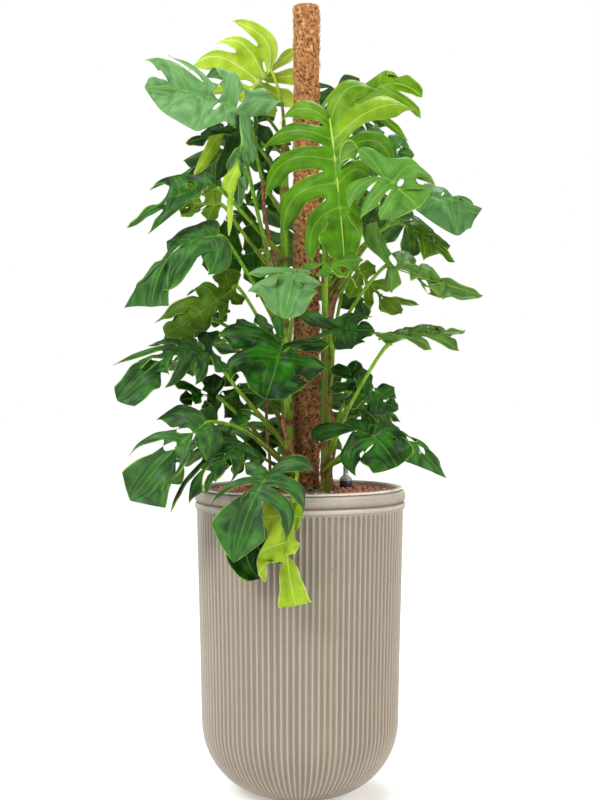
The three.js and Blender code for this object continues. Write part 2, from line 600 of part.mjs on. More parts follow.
// The blade as an open sheet of points and triangles: rows run from the midrib to the lobe tips
function sheet(leaf, midrib, frame) {
  const points = [];
  const faces = [];
  const add = (point) => points.push(point) - 1;
  const count = frame.one.length;
  const last = leaf.last ?? 0.62;
  const bounds = Array.from({ length: count + 1 }, (_, k) => last * (k / count) ** 1.2);
  const final = ROWS.length - 1;
  const spine = bounds.map((s) => add(midrib.getPoint(s)));
  const endSpine = ROWS.map((r, row) => (row === 0 ? spine[count]
    : add(midrib.getPoint(last + r * (1 - last)))));
  ['one', 'two'].forEach((side) => {
    const nodes = sideNodes(leaf, midrib, frame, side, bounds);
    const quad = (a, b, c, d) => {
      const corners = [a, b, c, d].filter((v, i, all) => all.indexOf(v) === i);
      if (corners.length < 3) return;
      if (side === 'two') corners.reverse();
      faces.push([corners[0], corners[1], corners[2]]);
      if (corners.length === 4) faces.push([corners[0], corners[2], corners[3]]);
    };
    let base = ROWS.map((r, row) => (row === 0 ? spine[0] : null));
    for (let k = 0; k <= count; k += 1) {
      const isEnd = k === count;
      const tip = isEnd ? endSpine[final] : add(frame[side][k].clone());
      for (let row = 1; row < final; row += 1) {
        if (base[row] === null && !isEnd) base[row] = add(nodes.margin(k, row, 'base'));
        if (base[row] === null && isEnd) base[row] = add(nodes.endMargin(row));
      }
      base[final] = tip;
      const apex = isEnd ? endSpine : ROWS.map((r, row) => (row === 0 ? spine[k + 1] : null));
      const next = ROWS.map((r, row) => (row === 0 ? spine[k + 1] : null));
      if (!isEnd) {
        const cut = nodes.cuts[k] ?? CUT;
        for (let row = 1; row < final; row += 1) {
          const own = nodes.margin(k, row, 'apex');
          if (ROWS[row] <= cut) {
            const other = k + 1 < count ? nodes.margin(k + 1, row, 'base') : nodes.endMargin(row);
            apex[row] = add(own.add(other).multiplyScalar(0.5));
            next[row] = apex[row];
          } else apex[row] = add(own);
        }
        apex[final] = tip;
      }
      for (let row = 0; row < final; row += 1) quad(base[row], base[row + 1], apex[row + 1], apex[row]);
      base = next;
    }
  });
  return { points, faces };
}

// The sheet given its thickness, with the same triangles on both faces
function slab({ points, faces }) {
  const normals = points.map(() => new THREE.Vector3());
  faces.forEach(([a, b, c]) => {
    const area = points[b].clone().sub(points[a]).cross(points[c].clone().sub(points[a]));
    [a, b, c].forEach((i) => normals[i].add(area));
  });
  const half = BLADE / 2;
  const positions = [];
  [half, -half].forEach((offset) => points.forEach((point, i) => {
    const moved = point.clone().addScaledVector(normals[i].normalize(), offset);
    positions.push(moved.x, moved.y, moved.z);
  }));
  const total = points.length;
  const index = faces.flatMap(([a, b, c]) => [a, b, c, a + total, c + total, b + total]);
  const used = new Set(faces.flatMap(([a, b, c]) => [`${a},${b}`, `${b},${c}`, `${c},${a}`]));
  used.forEach((edge) => {
    const [a, b] = edge.split(',').map(Number);
    if (!used.has(`${b},${a}`)) index.push(b, a, a + total, b, a + total, b + total);
  });
  const geometry = new THREE.BufferGeometry();
  geometry.setAttribute('position', new THREE.Float32BufferAttribute(positions, 3));
  geometry.setIndex(index);
  return solid(geometry);
}

function stemCurve({ foot, top, height }) {
  const point = (place, z) => new THREE.Vector3(...place, z);
  const rise = (height - BED_TOP) / 2;
  const between = [(foot[0] + top[0]) / 2, (foot[1] + top[1]) / 2];
  return new THREE.CatmullRomCurve3([
    point(foot, rootFloor), point(foot, BED_TOP), point(between, BED_TOP + rise), point(top, height),
  ]);
}

function stemPoint(curve, height) {
  const steps = 60;
  for (let i = 0; i <= steps; i += 1) {
    const point = curve.getPoint(i / steps);
    if (point.z >= height) return point;
  }
  return curve.getPoint(1);
}

function leafSolid(leaf) {
  const frame = leafFrame(leaf);
  const midrib = midribCurve(leaf, frame.at, frame.tip, frame.normal);
  const root = stemPoint(stemCurve(STEMS[leaf.stem]), leaf.root);
  const reach = root.distanceTo(frame.at);
  const way = leaf.way ? seen(leaf.way)
    : root.clone().lerp(frame.at, 0.5).addScaledVector(up, 0.14 * reach);
  const heel = frame.at.clone().addScaledVector(midrib.getTangent(0), 10)
    .addScaledVector(frame.normal, -1.5);
  const petiole = tube([root, way, frame.at.clone().addScaledVector(frame.normal, -1), heel],
    PETIOLE_RADIUS, 4, 6);
  return slab(sheet(leaf, midrib, frame)).add(petiole);
}

function leafyStem(name) {
  const points = stemCurve(STEMS[name]).getPoints(3);
  const leaves = [...LEAVES, ...RULED_LEAVES].filter((leaf) => leaf.stem === name);
  const bodies = [tube(points, STEM_RADIUS, 7, 9), ...leaves.map(leafSolid)];
  return wasm.Manifold.union(bodies);
}

function tie() {
  const inner = TIE_RADIUS - TIE_WIRE;
  const outer = TIE_RADIUS + TIE_WIRE;
  const low = TIE_HEIGHT - TIE_WIRE;
  const high = TIE_HEIGHT + TIE_WIRE;
  return turnedSolid([[inner, low], [outer, low], [outer, high], [inner, high], [inner, low]], 20, POLE);
}

const plant = new THREE.Group();

function place(name, body, color, roughness) {
  const material = new THREE.MeshStandardMaterial({ color, roughness, metalness: 0 });
  const mesh = new THREE.Mesh(skin(body), material);
  mesh.name = name;
  plant.add(mesh);
}

place('planter', planter(), 0xb5ab9c, 0.85);
place('granule_bed', bed(), 0xa8604e, 0.95);
place('granule_cover', cover(), 0xa8604e, 0.95);
place('grow_pot', growPot(), 0x2b2b2b, 0.6);
place('root_ball', rootBall(), 0x4a3628, 0.95);
place('coir_pole', coirPole(), 0xb07a4c, 0.95);
place('pole_core', rod(CORE_RADIUS - GAP, rootFloor, CORE_TOP, 12, POLE), 0xb9b4aa, 0.6);
place('gauge_tube', gaugeTube(), 0x3a3440, 0.5);
place('gauge_cap', gaugeCap(), 0xd8d8de, 0.15);
place('gauge_float', gaugeFloat(), 0xd0522a, 0.5);
place('plant_tie', tie(), 0x3f8f4a, 0.6);
Object.keys(STEMS).forEach((name) => place(`leafy_stem_${name}`, leafyStem(name), 0x2f7a22, 0.5));

export default plant;
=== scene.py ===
import math
import random

import bpy
from bpy.props import FloatProperty, FloatVectorProperty, IntProperty, PointerProperty
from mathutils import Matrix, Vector, noise


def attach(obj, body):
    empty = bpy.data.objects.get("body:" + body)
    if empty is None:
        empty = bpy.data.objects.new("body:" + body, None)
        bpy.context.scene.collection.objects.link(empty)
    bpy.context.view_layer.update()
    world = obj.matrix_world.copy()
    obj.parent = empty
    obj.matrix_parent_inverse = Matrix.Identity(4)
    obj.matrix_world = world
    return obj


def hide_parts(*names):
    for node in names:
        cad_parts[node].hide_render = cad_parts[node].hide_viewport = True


bl_info = {
    "name": "Potted Split-Leaf Plant",
    "version": (1, 0, 0),
    "blender": (4, 5, 0),
    "location": "View3D > Sidebar > Potted Plant",
    "description": "Dresses the packed model of a climbing house plant in a ribbed planter",
    "category": "Add Mesh",
}

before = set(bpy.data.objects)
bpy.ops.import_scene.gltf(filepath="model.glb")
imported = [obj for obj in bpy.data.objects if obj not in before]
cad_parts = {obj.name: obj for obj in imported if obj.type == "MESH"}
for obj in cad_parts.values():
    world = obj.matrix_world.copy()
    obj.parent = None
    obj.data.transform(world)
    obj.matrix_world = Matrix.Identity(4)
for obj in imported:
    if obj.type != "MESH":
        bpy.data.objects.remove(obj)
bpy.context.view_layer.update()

MM = 0.001
FULL_TURN = 2 * math.pi
EYE = Vector((0, -3.1, 0.85))  # where the photographer stands

# Places on the object, above the floor and from the planter's axis
GRANULE_TOP = 598 * MM
OPENING_RADIUS = 190 * MM  # of the planter's mouth
POLE = Vector((13 * MM, 0, 0))
POLE_RADIUS = 27 * MM
POLE_FOOT, POLE_TOP = 431 * MM, 1571 * MM
FIBRE_LOW, FIBRE_HIGH = 600 * MM, 1567 * MM  # between these heights the pole is hairy
GAUGE = Vector((94 * MM, 89 * MM, 0))
TIE_HEIGHT = 603 * MM
TIE_RADIUS = 64.6 * MM

# Each stem stands upright from its foot to the soil and leans from there to its top. foot and top
# are (x, y), and height and girth, its radius, are in millimetres too. age is how brown it is.
STEMS = {
    "left": dict(foot=(-28, -8), top=(-32, -6), height=1300, girth=8.6, age=0.3),
    "front_left": dict(foot=(-21, -37), top=(-27, -40), height=960, girth=8.6, age=0.25),
    "right": dict(foot=(55, -8), top=(60, -6), height=1060, girth=7, age=0.45),
    "front_right": dict(foot=(47, -37), top=(50, -46), height=1140, girth=6.4, age=0.5),
    "back": dict(foot=(20, 43), top=(17, 44), height=1330, girth=8.6, age=0.3),
}
STEM_FOOT = 431  # where stems start, deep in the filling
STEM_SOIL = 596  # the top of the filling

# What the table says of each leaf. A point is (x, z, forward) in millimetres: where it shows, from
# the eye, on the plane through the pole, and how far it stands in front of that plane.
#   stem, root: the stem it grows on, and the height where it leaves it
#   at, mid, tip: points of the midrib
#   way: a point that the stalk goes through
#   one, two: tips of the lobes on either side, from the base; two more numbers are the x and z that
#       a lobe bends by
#   last, end: where along the midrib the end lobe starts, and its half width on either side
#   square: how the end lobe ends: 0 drawn out to a point, 1 cut off square, more where it flares,
#       and less than 0 for a kite with its corners that far along
#   cut_one, cut_two: how far along each lobe parts from the next
#   broad_one, broad_two: half widths of the lobes
#   look: how light, how blue and how young the blade is. A leaf deep in the shade of others
#       has a darker blade, which is painted shade; the blue is partly painted sheen; and leaves
#       whose underside shows lit from behind are a little younger and yellower, which is painted
#       light coming through them
#   youth: how young single lobes are, by side and number
#   face: -1 where the underside shows
#   faced: how far the blade is turned to the eye, 1 fully
#   rib: how thick the midrib is, 0.8 where none is given
#   holed: the chance of a small hole beyond a lobe, 0.35 where none is given
#   holes: where a hole beyond a lobe starts and ends along it, and its half width
LEAVES = [
    dict(name="new_top", stem="left", root=1280, at=(-59, 1440, -35), tip=(-121, 1380, 8),
         way=(-36, 1370, -15), end=(20, 20), square=0.1, one=[(-133, 1540, -35, -38, 1512),
         (-167, 1496, -25, -105, 1530), (-227, 1440, -10, -172, 1514), (-190, 1398, 5)],
         two=[(-9, 1484, -62), (6, 1436, -72), (-6, 1370, -66), (-50, 1350, -40)],
         cut_one=(0.44, 0.42, 0.3), broad_one=(30, 28, 28, 16), look=(0.8, 0, 1)),
    dict(name="top_left", stem="left", root=1150, at=(-103, 1346, 60), mid=(-201, 1392, 92),
         tip=(-311, 1406, 112), way=(-74, 1220, 25), end=(24, 28), last=0.72, square=0.6,
         one=[(-35, 1366, 40, -66, 1402), (-189, 1426, 45, -118, 1474), (-261, 1468, 66, -170, 1424),
         (-307, 1462, 96, -256, 1486)], two=[(-97, 1256, 100, -104, 1310), (-151, 1338, 112),
         (-207, 1316, 132), (-275, 1356, 130)], cut_two=(0.3, 0.98, 0.98, 0.98),
         broad_one=(26, 18, 7, 24), holes={("two", 1): (0.22, 0.5, 6.5)}, look=(0.5, 0.9, 0)),
    dict(name="front_high", stem="front_right", root=1100, at=(59, 1350, 150), mid=(77, 1202, 196),
         tip=(89, 1058, 184), way=(58, 1230, 80), end=(46, 40), last=0.7, square=0.1, rib=1,
         one=[(-37, 1334, 122, 4, 1392), (-73, 1282, 112, -26, 1346), (-67, 1186, 122, -52, 1296),
         (-30, 1112, 134, -38, 1216), (26, 1060, 146, 8, 1142)], two=[(151, 1400, 122, 84, 1436),
         (225, 1362, 144, 170, 1404), (183, 1254, 146, 152, 1346), (133, 1214, 168, 124, 1270),
         (119, 1098, 176, 122, 1160)], cut_one=(0.12, 0.09, 0.09, 0.12, 0.2),
         cut_two=(0.25, 0.16, 0.14, 0.14, 0.2), broad_one=(20, 17, 23, 23, 22),
         broad_two=(24, 24, 22, 20, 18), youth={("two", 0): 0.3, ("two", 1): 0.5, ("one", 0): 0.22,
         ("one", 1): 0.1}, look=(0.6, 0, 0.14)),
    dict(name="top_right", stem="right", root=1040, at=(89, 1346, 60), mid=(170, 1412, 70),
         tip=(245, 1388, 76), way=(80, 1200, 20), end=(24, 14), one=[(105, 1404, 40),
         (201, 1418, 52, 150, 1464)], two=[(215, 1300, 90, 170, 1352), (240, 1346, 80, 228, 1376)],
         cut_one=(0.4, 0.2), cut_two=(0.2, 0.2), broad_one=(20, 18), broad_two=(8, 9),
         look=(0.6, 0, 0.25)),
    dict(name="right_behind", stem="back", root=1160, at=(140, 1284, 26), tip=(229, 1272, 40),
         way=(90, 1240, 0), end=(16, 20), one=[(152, 1330, 14), (200, 1312, 20)], two=[(150, 1226, 34),
         (204, 1246, 44)], look=(0.4, 0.4, 0)),
    dict(name="right_front", stem="front_right", root=1020, at=(167, 1224, 222), tip=(239, 1168, 240),
         way=(120, 1160, 130), end=(38, 58), last=0.5, square=1.3, one=[(83, 1258, 220, 112, 1322),
         (269, 1212, 205, 238, 1290), (262, 1196, 215)], two=[(99, 1166, 250, 106, 1228),
         (122, 1146, 256, 160, 1206), (160, 1142, 254)], cut_one=(0.3, 0.5, 0.97),
         cut_two=(0.3, 0.3, 0.97), broad_one=(22, 22, 14), broad_two=(24, 26, 16),
         look=(0.6, 0.3, 0.1)),
    dict(name="far_right", stem="right", root=985, at=(249, 1188, 130), tip=(365, 1166, 110),
         way=(150, 1110, 75), end=(14, 42), last=0.6, square=0.55, one=[(263, 1212, 100),
         (310, 1182, 92)], two=[(232, 1160, 140), (315, 1106, 128)], cut_one=(0.98, 0.98),
         cut_two=(0.98, 0.98), look=(0.38, 0.45, 0)),
    dict(name="right_dark", stem="right", root=1000, at=(195, 1138, 50), tip=(311, 1058, 58),
         way=(130, 1096, 30), end=(14, 26), last=0.5, one=[(249, 1128, 20), (299, 1090, 24)],
         two=[(231, 1082, 76), (247, 1064, 84)], look=(0.3, 0, 0.1)),
    dict(name="right_long", stem="right", root=870, at=(175, 1052, 140), mid=(246, 1026, 152),
         tip=(367, 992, 124), way=(104, 966, 60), end=(20, 40), last=0.55, square=0,
         one=[(151, 1134, 112, 142, 1100), (216, 1072, 100), (262, 1044, 110)], two=[(185, 1000, 158),
         (236, 1028, 170), (285, 984, 156)], look=(0.35, 0.25, 0.1)),
    dict(name="right_lit", stem="back", root=900, at=(113, 1048, 40), tip=(203, 954, 84),
         way=(70, 980, -10), end=(22, 24), one=[(150, 1050, 20), (190, 1012, 34), (236, 974, 44)],
         two=[(99, 988, 60), (141, 966, 74), (172, 960, 84)], face=-1, look=(0.3, 0, 0.2)),
    dict(name="right_mid", stem="right", root=800, at=(62, 922, 96), tip=(150, 920, 110),
         way=(66, 862, 50), end=(22, 24), last=0.5, one=[(-1, 956, 76), (141, 948, 100, 92, 962)],
         two=[(-17, 898, 104, 20, 890), (103, 886, 128)], look=(0.15, 0.1, 0)),
    dict(name="front_shelf", stem="front_right", root=930, at=(55, 1046, 205), tip=(89, 1030, 262),
         way=(52, 980, 110), end=(20, 20), last=0.5, one=[(3, 1046, 206), (36, 1030, 244)],
         two=[(123, 1058, 204), (111, 1006, 246)], look=(0.5, 0.1, 0.1)),
    dict(name="front_teal", stem="front_left", root=880, at=(-7, 1042, 226), mid=(-20, 1000, 272),
         tip=(-31, 944, 286), way=(-14, 960, 100), end=(60, 56), last=0.2, square=0.1,
         one=[(-103, 1032, 226), (-101, 1000, 250)], two=[(22, 1032, 234), (40, 1012, 248)],
         look=(0.42, 0.65, 0)),
    dict(name="front_mid", stem="front_left", root=740, at=(-35, 892, 216), mid=(-50, 840, 262),
         tip=(-69, 784, 280), way=(-30, 810, 100), end=(62, 66), last=0.36, square=0.15,
         one=[(-159, 910, 214, -100, 926), (-137, 820, 262, -168, 880)], two=[(57, 890, 200),
         (51, 846, 232)], cut_one=(0.35, 0.55), look=(0.18, 0.02, 0)),
    dict(name="mid_cut", stem="front_left", root=770, at=(-30, 904, 140), tip=(-153, 918, 152),
         way=(-34, 840, 60), end=(14, 14), one=[(-50, 952, 112), (-86, 952, 118), (-124, 942, 128)],
         two=[(-66, 878, 166), (-100, 880, 172), (-136, 888, 170)], look=(0.15, 0.1, 0)),
    dict(name="left_mid", stem="left", root=690, at=(-175, 868, 120), mid=(-258, 872, 150),
         tip=(-365, 780, 158), way=(-122, 800, 80), end=(28, 46), last=0.62, square=0.6, faced=0.5,
         one=[(-169, 910, 92, -196, 922), (-301, 890, 108, -228, 920), (-371, 852, 122, -300, 892),
         (-329, 846, 140)], two=[(-151, 838, 132), (-209, 816, 152, -178, 858),
         (-269, 808, 172, -222, 860), (-262, 836, 168)], broad_one=(30, 30, 8, 18),
         look=(0.2, 0.15, 0)),
    dict(name="left_shade", stem="left", root=650, at=(-169, 790, 50), tip=(-241, 782, 84),
         way=(-110, 740, 30), end=(18, 18), one=[(-171, 832, 44), (-251, 814, 66)],
         two=[(-177, 768, 72), (-209, 774, 84)], look=(0.1, 0, 0)),
    dict(name="low_left", stem="front_left", root=650, at=(-185, 738, 150), mid=(-262, 672, 178),
         tip=(-339, 580, 186), way=(-118, 724, 96), end=(48, 66), last=0.42, square=-0.76, faced=0.6,
         one=[(-283, 742, 126, -230, 768), (-339, 672, 146, -296, 728)],
         two=[(-189, 664, 176, -170, 712), (-277, 602, 214, -218, 656)], broad_one=(26, 9),
         look=(0.25, 0.22, 0)),
    dict(name="low_left_strap", stem="left", root=640, at=(-111, 694, 120), mid=(-158, 660, 172),
         tip=(-191, 594, 212), way=(-70, 664, 60), end=(16, 16), last=0.55, one=[(-190, 690, 116),
         (-257, 562, 148, -240, 644), (-219, 578, 176, -205, 640)], two=[(-81, 660, 176),
         (-137, 618, 236, -96, 664), (-166, 618, 236)], look=(0.15, 0.1, 0)),
    dict(name="front_low", stem="front_left", root=632, at=(-61, 632, 232), mid=(-97, 572, 276),
         tip=(-133, 456, 282), way=(-36, 650, 140), end=(62, 48), last=0.38, square=-0.62,
         one=[(-110, 654, 222), (-175, 576, 250, -158, 628), (-127, 566, 256)],
         two=[(25, 640, 238, -6, 676), (1, 548, 262, 24, 618), (-29, 502, 280, 0, 572)],
         cut_one=(0.3, 0.1, 0.25), cut_two=(0.3, 0.12, 0.12), broad_one=(16, 9, 9),
         broad_two=(16, 14, 15), look=(0.2, 0.2, 0)),
    dict(name="new_low", stem="front_left", root=622, at=(-18, 574, 236), mid=(-26, 480, 246),
         tip=(-9, 370, 244), way=(-6, 634, 180), end=(19, 21), last=0.58, square=2.1,
         one=[(-77, 548, 230), (-69, 420, 234, -124, 486)], two=[(4, 548, 244), (-12, 476, 250)],
         cut_one=(0.6, 0.12), cut_two=(0.5, 0.2), look=(0.35, 0, 0.74)),
    dict(name="low_back_leaf", stem="front_left", root=626, at=(-86, 560, 222), mid=(-108, 482, 221),
         tip=(-80, 424, 220), way=(-66, 634, 170), end=(40, 30), last=0.3, square=0,
         one=[(-120, 560, 218), (-152, 500, 214)], two=[(-64, 540, 216), (-40, 456, 218)],
         look=(0.08, 0, 0)),
    dict(name="low_right", stem="front_right", root=640, at=(131, 716, 190), mid=(164, 694, 224),
         tip=(195, 648, 240), way=(90, 680, 110), end=(42, 60), last=0.36, square=0.9,
         one=[(110, 742, 150), (213, 702, 186, 188, 748)], two=[(27, 700, 176, 40, 736),
         (111, 632, 226, 76, 690)], broad_two=(18, 22), look=(0.2, 0.05, 0)),
    dict(name="far_low_right", stem="right", root=650, at=(183, 718, 120), tip=(293, 626, 150),
         way=(120, 680, 60), end=(22, 20), last=0.5, square=0, one=[(219, 704, 96), (271, 664, 118)],
         two=[(197, 662, 146), (229, 650, 152)], cut_one=(0.97, 0.97), cut_two=(0.97, 0.97),
         look=(0.3, 0.2, 0)),
    dict(name="right_small", stem="right", root=690, at=(100, 800, 80), tip=(113, 862, 70),
         way=(72, 740, 50), end=(16, 18), one=[(61, 806, 90), (60, 842, 84)], two=[(130, 800, 84),
         (135, 838, 76)], look=(0.15, 0, 0)),
    dict(name="right_curl", stem="front_right", root=700, at=(119, 792, 112), tip=(197, 764, 128),
         way=(80, 748, 70), end=(20, 22), one=[(126, 842, 80), (186, 806, 100)], two=[(92, 770, 128),
         (150, 752, 142)], look=(0.2, 0.1, 0)),
    dict(name="right_flat", stem="front_right", root=650, at=(175, 892, 116), tip=(331, 922, 92),
         way=(104, 778, 158), end=(18, 22), last=0.56, one=[(169, 914, 92), (219, 922, 74),
         (279, 928, 70)], two=[(143, 914, 132), (261, 884, 132), (315, 880, 128)],
         cut_one=(0.6, 0.6, 0.5), cut_two=(0.5, 0.4, 0.4), look=(0.3, 0.2, 0.1)),
    dict(name="left_high", stem="left", root=1060, at=(-165, 1206, 150), mid=(-260, 1182, 176),
         tip=(-347, 1128, 180), way=(-100, 1140, 80), end=(14, 12), last=0.55, square=0.2,
         one=[(-190, 1236, 116), (-297, 1202, 112, -246, 1262)], two=[(-215, 1182, 190),
         (-301, 1114, 204, -256, 1160)], cut_one=(0.6, 0.12), cut_two=(0.97, 0.4), broad_one=(20, 17),
         broad_two=(18, 12), look=(0.25, 0.12, 0)),
    dict(name="left_lit", stem="left", root=1010, at=(-157, 1172, 70), tip=(-261, 1186, 84),
         way=(-110, 1110, 40), end=(24, 26), one=[(-176, 1210, 50), (-230, 1216, 60)],
         two=[(-185, 1144, 90), (-235, 1150, 98)], face=-1, look=(0.3, 0, 0.25)),
    dict(name="upper_dark", stem="left", root=1200, at=(-111, 1318, 10), tip=(-229, 1296, 30),
         way=(-70, 1270, 0), end=(12, 16), one=[(-130, 1352, -10), (-173, 1334, 0)],
         two=[(-171, 1222, 50, -140, 1270), (-211, 1230, 62, -166, 1300)], broad_two=(18, 14),
         youth={("two", 1): 0.85}, look=(0.1, 0.1, 0)),
    dict(name="upper_hanging", stem="front_left", root=930, at=(-117, 1290, 112), tip=(-121, 1166, 152),
         way=(-76, 1120, 70), end=(15, 15), last=0.4, faced=1, one=[(-143, 1242, 104),
         (-143, 1110, 160, -159, 1202)], two=[(-101, 1254, 120), (-107, 1202, 140)], cut_one=(0.3, 0.1),
         broad_one=(10, 14), broad_two=(10, 10), youth={("one", 1): 0.8}, look=(0.3, 0.35, 0)),
    dict(name="left_big", stem="left", root=900, at=(-157, 1110, 160), mid=(-256, 1074, 198),
         tip=(-296, 968, 208), way=(-90, 1010, 80), end=(30, 24), last=0.6, square=0.8, faced=0.85,
         one=[(-196, 1136, 130), (-264, 1098, 140), (-350, 966, 196)],
         two=[(-183, 1034, 200, -150, 1080), (-275, 1002, 222, -222, 1058), (-262, 970, 214)],
         cut_one=(0.97, 0.45, 0.97), cut_two=(0.45, 0.92, 0.97), look=(0.3, 0.2, 0)),
    dict(name="left_under", stem="left", root=840, at=(-129, 1010, 84), tip=(-271, 914, 124),
         way=(-80, 940, 50), end=(32, 38), square=0.3, one=[(-150, 1044, 64),
         (-227, 994, 70, -196, 1040), (-291, 940, 88, -236, 992)], two=[(-118, 976, 110),
         (-165, 940, 118, -140, 980), (-188, 922, 126)], face=-1, holed=0, look=(0.2, 0, 0.12)),
    dict(name="centre_dark", stem="back", root=1010, at=(-77, 1082, 0), tip=(-196, 1052, 20),
         way=(-40, 1050, -20), end=(26, 26), one=[(-92, 1140, -20), (-150, 1140, -10)],
         two=[(-90, 1010, 16), (-146, 1000, 26)], face=-1, look=(0.05, 0, 0)),
]

# Leaves behind and within the others, laid out by rule: width is across the leaf, and lobes is how
# many there are on either side of its end lobe
RULED_KEYS = ("name", "stem", "root", "at", "tip", "width", "lobes")
RULED_LEAVES = [dict(zip(RULED_KEYS, row)) for row in (
    ("back_top", "back", 1290, (70, 1400, -120), (120, 1300, -250), 220, 4),
    ("back_left_high", "back", 1220, (-110, 1300, -130), (-230, 1200, -210), 220, 4),
    ("back_right_high", "back", 1090, (160, 1170, -120), (270, 1080, -200), 210, 4),
    ("back_mid", "back", 980, (0, 1120, -190), (-20, 990, -310), 250, 4),
    ("back_left", "back", 830, (-160, 900, -130), (-260, 840, -200), 170, 4),
    ("back_right", "back", 780, (96, 800, -130), (180, 730, -210), 150, 4),
    ("back_low", "back", 680, (10, 800, -200), (20, 680, -320), 230, 4),
    ("back_low_left", "back", 630, (-110, 730, -150), (-230, 650, -240), 200, 4),
    ("left_dark", "left", 800, (-180, 944, 6), (-284, 896, 26), 130, 3),
    ("low_shade", "back", 700, (-104, 800, -20), (-206, 752, 10), 150, 3),
    ("inner_low", "back", 630, (-70, 704, -44), (-154, 646, -34), 120, 3),
    ("low_right_back", "back", 650, (108, 752, -24), (208, 708, -6), 150, 3),
    ("upper_shade", "back", 1180, (-74, 1352, -40), (-92, 1262, -16), 120, 3),
    ("mid_shade", "back", 1060, (-56, 1250, -50), (-76, 1164, -30), 120, 3),
    ("left_core", "back", 1120, (-96, 1180, -58), (-146, 1126, -36), 110, 3),
    ("left_mid_core", "left", 720, (-120, 850, 0), (-180, 800, 20), 130, 3),
    ("left_low_core", "front_left", 680, (-110, 760, 20), (-160, 700, 30), 130, 3),
    ("right_core", "right", 940, (124, 1190, -34), (176, 1124, -14), 130, 3),
    ("right_mid_core", "right", 820, (92, 1016, -64), (136, 944, -44), 110, 3),
)]

# Roots that leave a stem and feel their way down to the granules, laid out as the leaves are
AERIAL_ROOTS = [
    dict(name="upper_left", stem="left", radius=3.6,
         path=[(-75, 1226, 26), (-70, 1150, 26), (-50, 1060, 28), (-38, 980, 24), (-36, 880, 18)]),
    dict(name="upper_right", stem="right", radius=3.4,
         path=[(64, 960, 18), (76, 1000, 30), (60, 960, 46), (46, 900, 48), (44, 820, 44)]),
    dict(name="low_front", stem="front_left", radius=4.2,
         path=[(-26, 760, 46), (-34, 740, 58), (-20, 690, 68), (-6, 650, 70), (-4, 606, 66)]),
    dict(name="low_left", stem="left", radius=3.2,
         path=[(-34, 830, 12), (-62, 800, 22), (-66, 720, 30), (-60, 650, 34), (-64, 600, 36)]),
    dict(name="low_right", stem="front_right", radius=3.4,
         path=[(50, 780, 56), (66, 750, 66), (70, 690, 66), (62, 640, 60), (66, 600, 56)]),
    dict(name="back", stem="back", radius=3.6,
         path=[(20, 1000, -52), (-4, 960, -66), (-8, 860, -62), (-2, 740, -60), (-6, 600, -62)]),
]

SIDES = ("one", "two")
SHADED_LOOK = (0.25, 0.15, 0.0)  # the look of a leaf that the table gives none
YOUNG_VEIN = "#EAF0B8"
BLADE = 0.9 * MM  # thickness of a blade
LOBE_WIDTH = 33  # widest half of a lobe, in millimetres, where the table gives none
CUT = 0.3  # how far from the midrib lobes usually part
SINUS = 3 * MM  # half width of the gap between lobes
SMALL_HOLE = (0.07, 0.2, 4.2)  # where a small hole starts and ends, and its half width
MIDRIB_ARCH = 0.12  # how far a midrib arches, as a share of its length
LOBE_ARCH = 0.16  # the same for a lobe
PILLOW = 6.5 * MM  # how far the blade swells between its veins
DROOP = 0.42  # how far a free margin hangs, as a share of its distance from the vein
CREASE = 3.2 * MM  # depth of the groove over a vein
VALLEY = 2.4 * MM  # how deep the midrib lies
INLAND = 50 * MM  # far enough from any margin to show none of its paleness
HALF_COLUMNS = 2  # columns of faces on either side of a lobe's vein
COLUMNS = 2 * HALF_COLUMNS
FLUTE_STEPS = 8  # steps of the spin in one rib and flute of the planter


def linear(hexadecimal, alpha=1.0):
    """A colour as it is mixed for the eye, turned to the linear values that light needs."""
    channels = [int(hexadecimal[i:i + 2], 16) / 255 for i in (1, 3, 5)]
    return [c / 12.92 if c < 0.04045 else ((c + 0.055) / 1.055) ** 2.4 for c in channels] + [alpha]


# Curves


def smooth(low, high, value):
    """Rises from 0 at low to 1 at high, without a kink."""
    t = min(max((value - low) / (high - low), 0), 1)
    return t * t * (3 - 2 * t)


def hump(distance, spread):
    """1 at no distance, and fading over the spread on either side."""
    return math.exp(-(distance / spread) ** 2)


def seen(point):
    """A point of the layout, (x, z, forward), as it stands in the room, in metres."""
    x, z, forward = (value * MM for value in point[:3])
    scale = 1 + forward / EYE.y
    return Vector((x * scale, -forward, EYE.z + (z - EYE.z) * scale))


class Bend:
    """A curve from start to end, drawn towards pull."""

    def __init__(self, start, pull, end):
        self.start, self.pull, self.end = start, pull, end

    def point(self, t):
        return self.start * (1 - t) ** 2 + self.pull * (2 * t * (1 - t)) + self.end * t ** 2

    def tangent(self, t):
        return ((self.pull - self.start) * (1 - t) + (self.end - self.pull) * t).normalized()


def through(points, steps):
    """A smooth line through points: a centripetal Catmull-Rom spline."""
    ends = [points[0] * 2 - points[1]] + list(points) + [points[-1] * 2 - points[-2]]
    line = []
    for i in range(len(points) - 1):
        a, b, c, d = ends[i:i + 4]
        spans = [max((q - p).length, 1e-6) ** 0.5 for p, q in ((a, b), (b, c), (c, d))]
        out = ((b - a) / spans[0] - (c - a) / (spans[0] + spans[1]) + (c - b) / spans[1]) * spans[1]
        into = ((c - b) / spans[1] - (d - b) / (spans[1] + spans[2]) + (d - c) / spans[2]) * spans[1]
        for step in range(steps):
            t = step / steps
            line.append(
                b * (2 * t ** 3 - 3 * t ** 2 + 1) + out * (t ** 3 - 2 * t ** 2 + t)
                + c * (3 * t ** 2 - 2 * t ** 3) + into * (t ** 3 - t ** 2)
            )
    return line + [points[-1].copy()]


# Meshes


def keep(mesh, name, values):
    """Keeps three numbers under a name at each point of a mesh, for its material to read."""
    kept = mesh.attributes.new(name, "FLOAT_VECTOR", "POINT")
    kept.data.foreach_set("vector", [number for value in values for number in value])


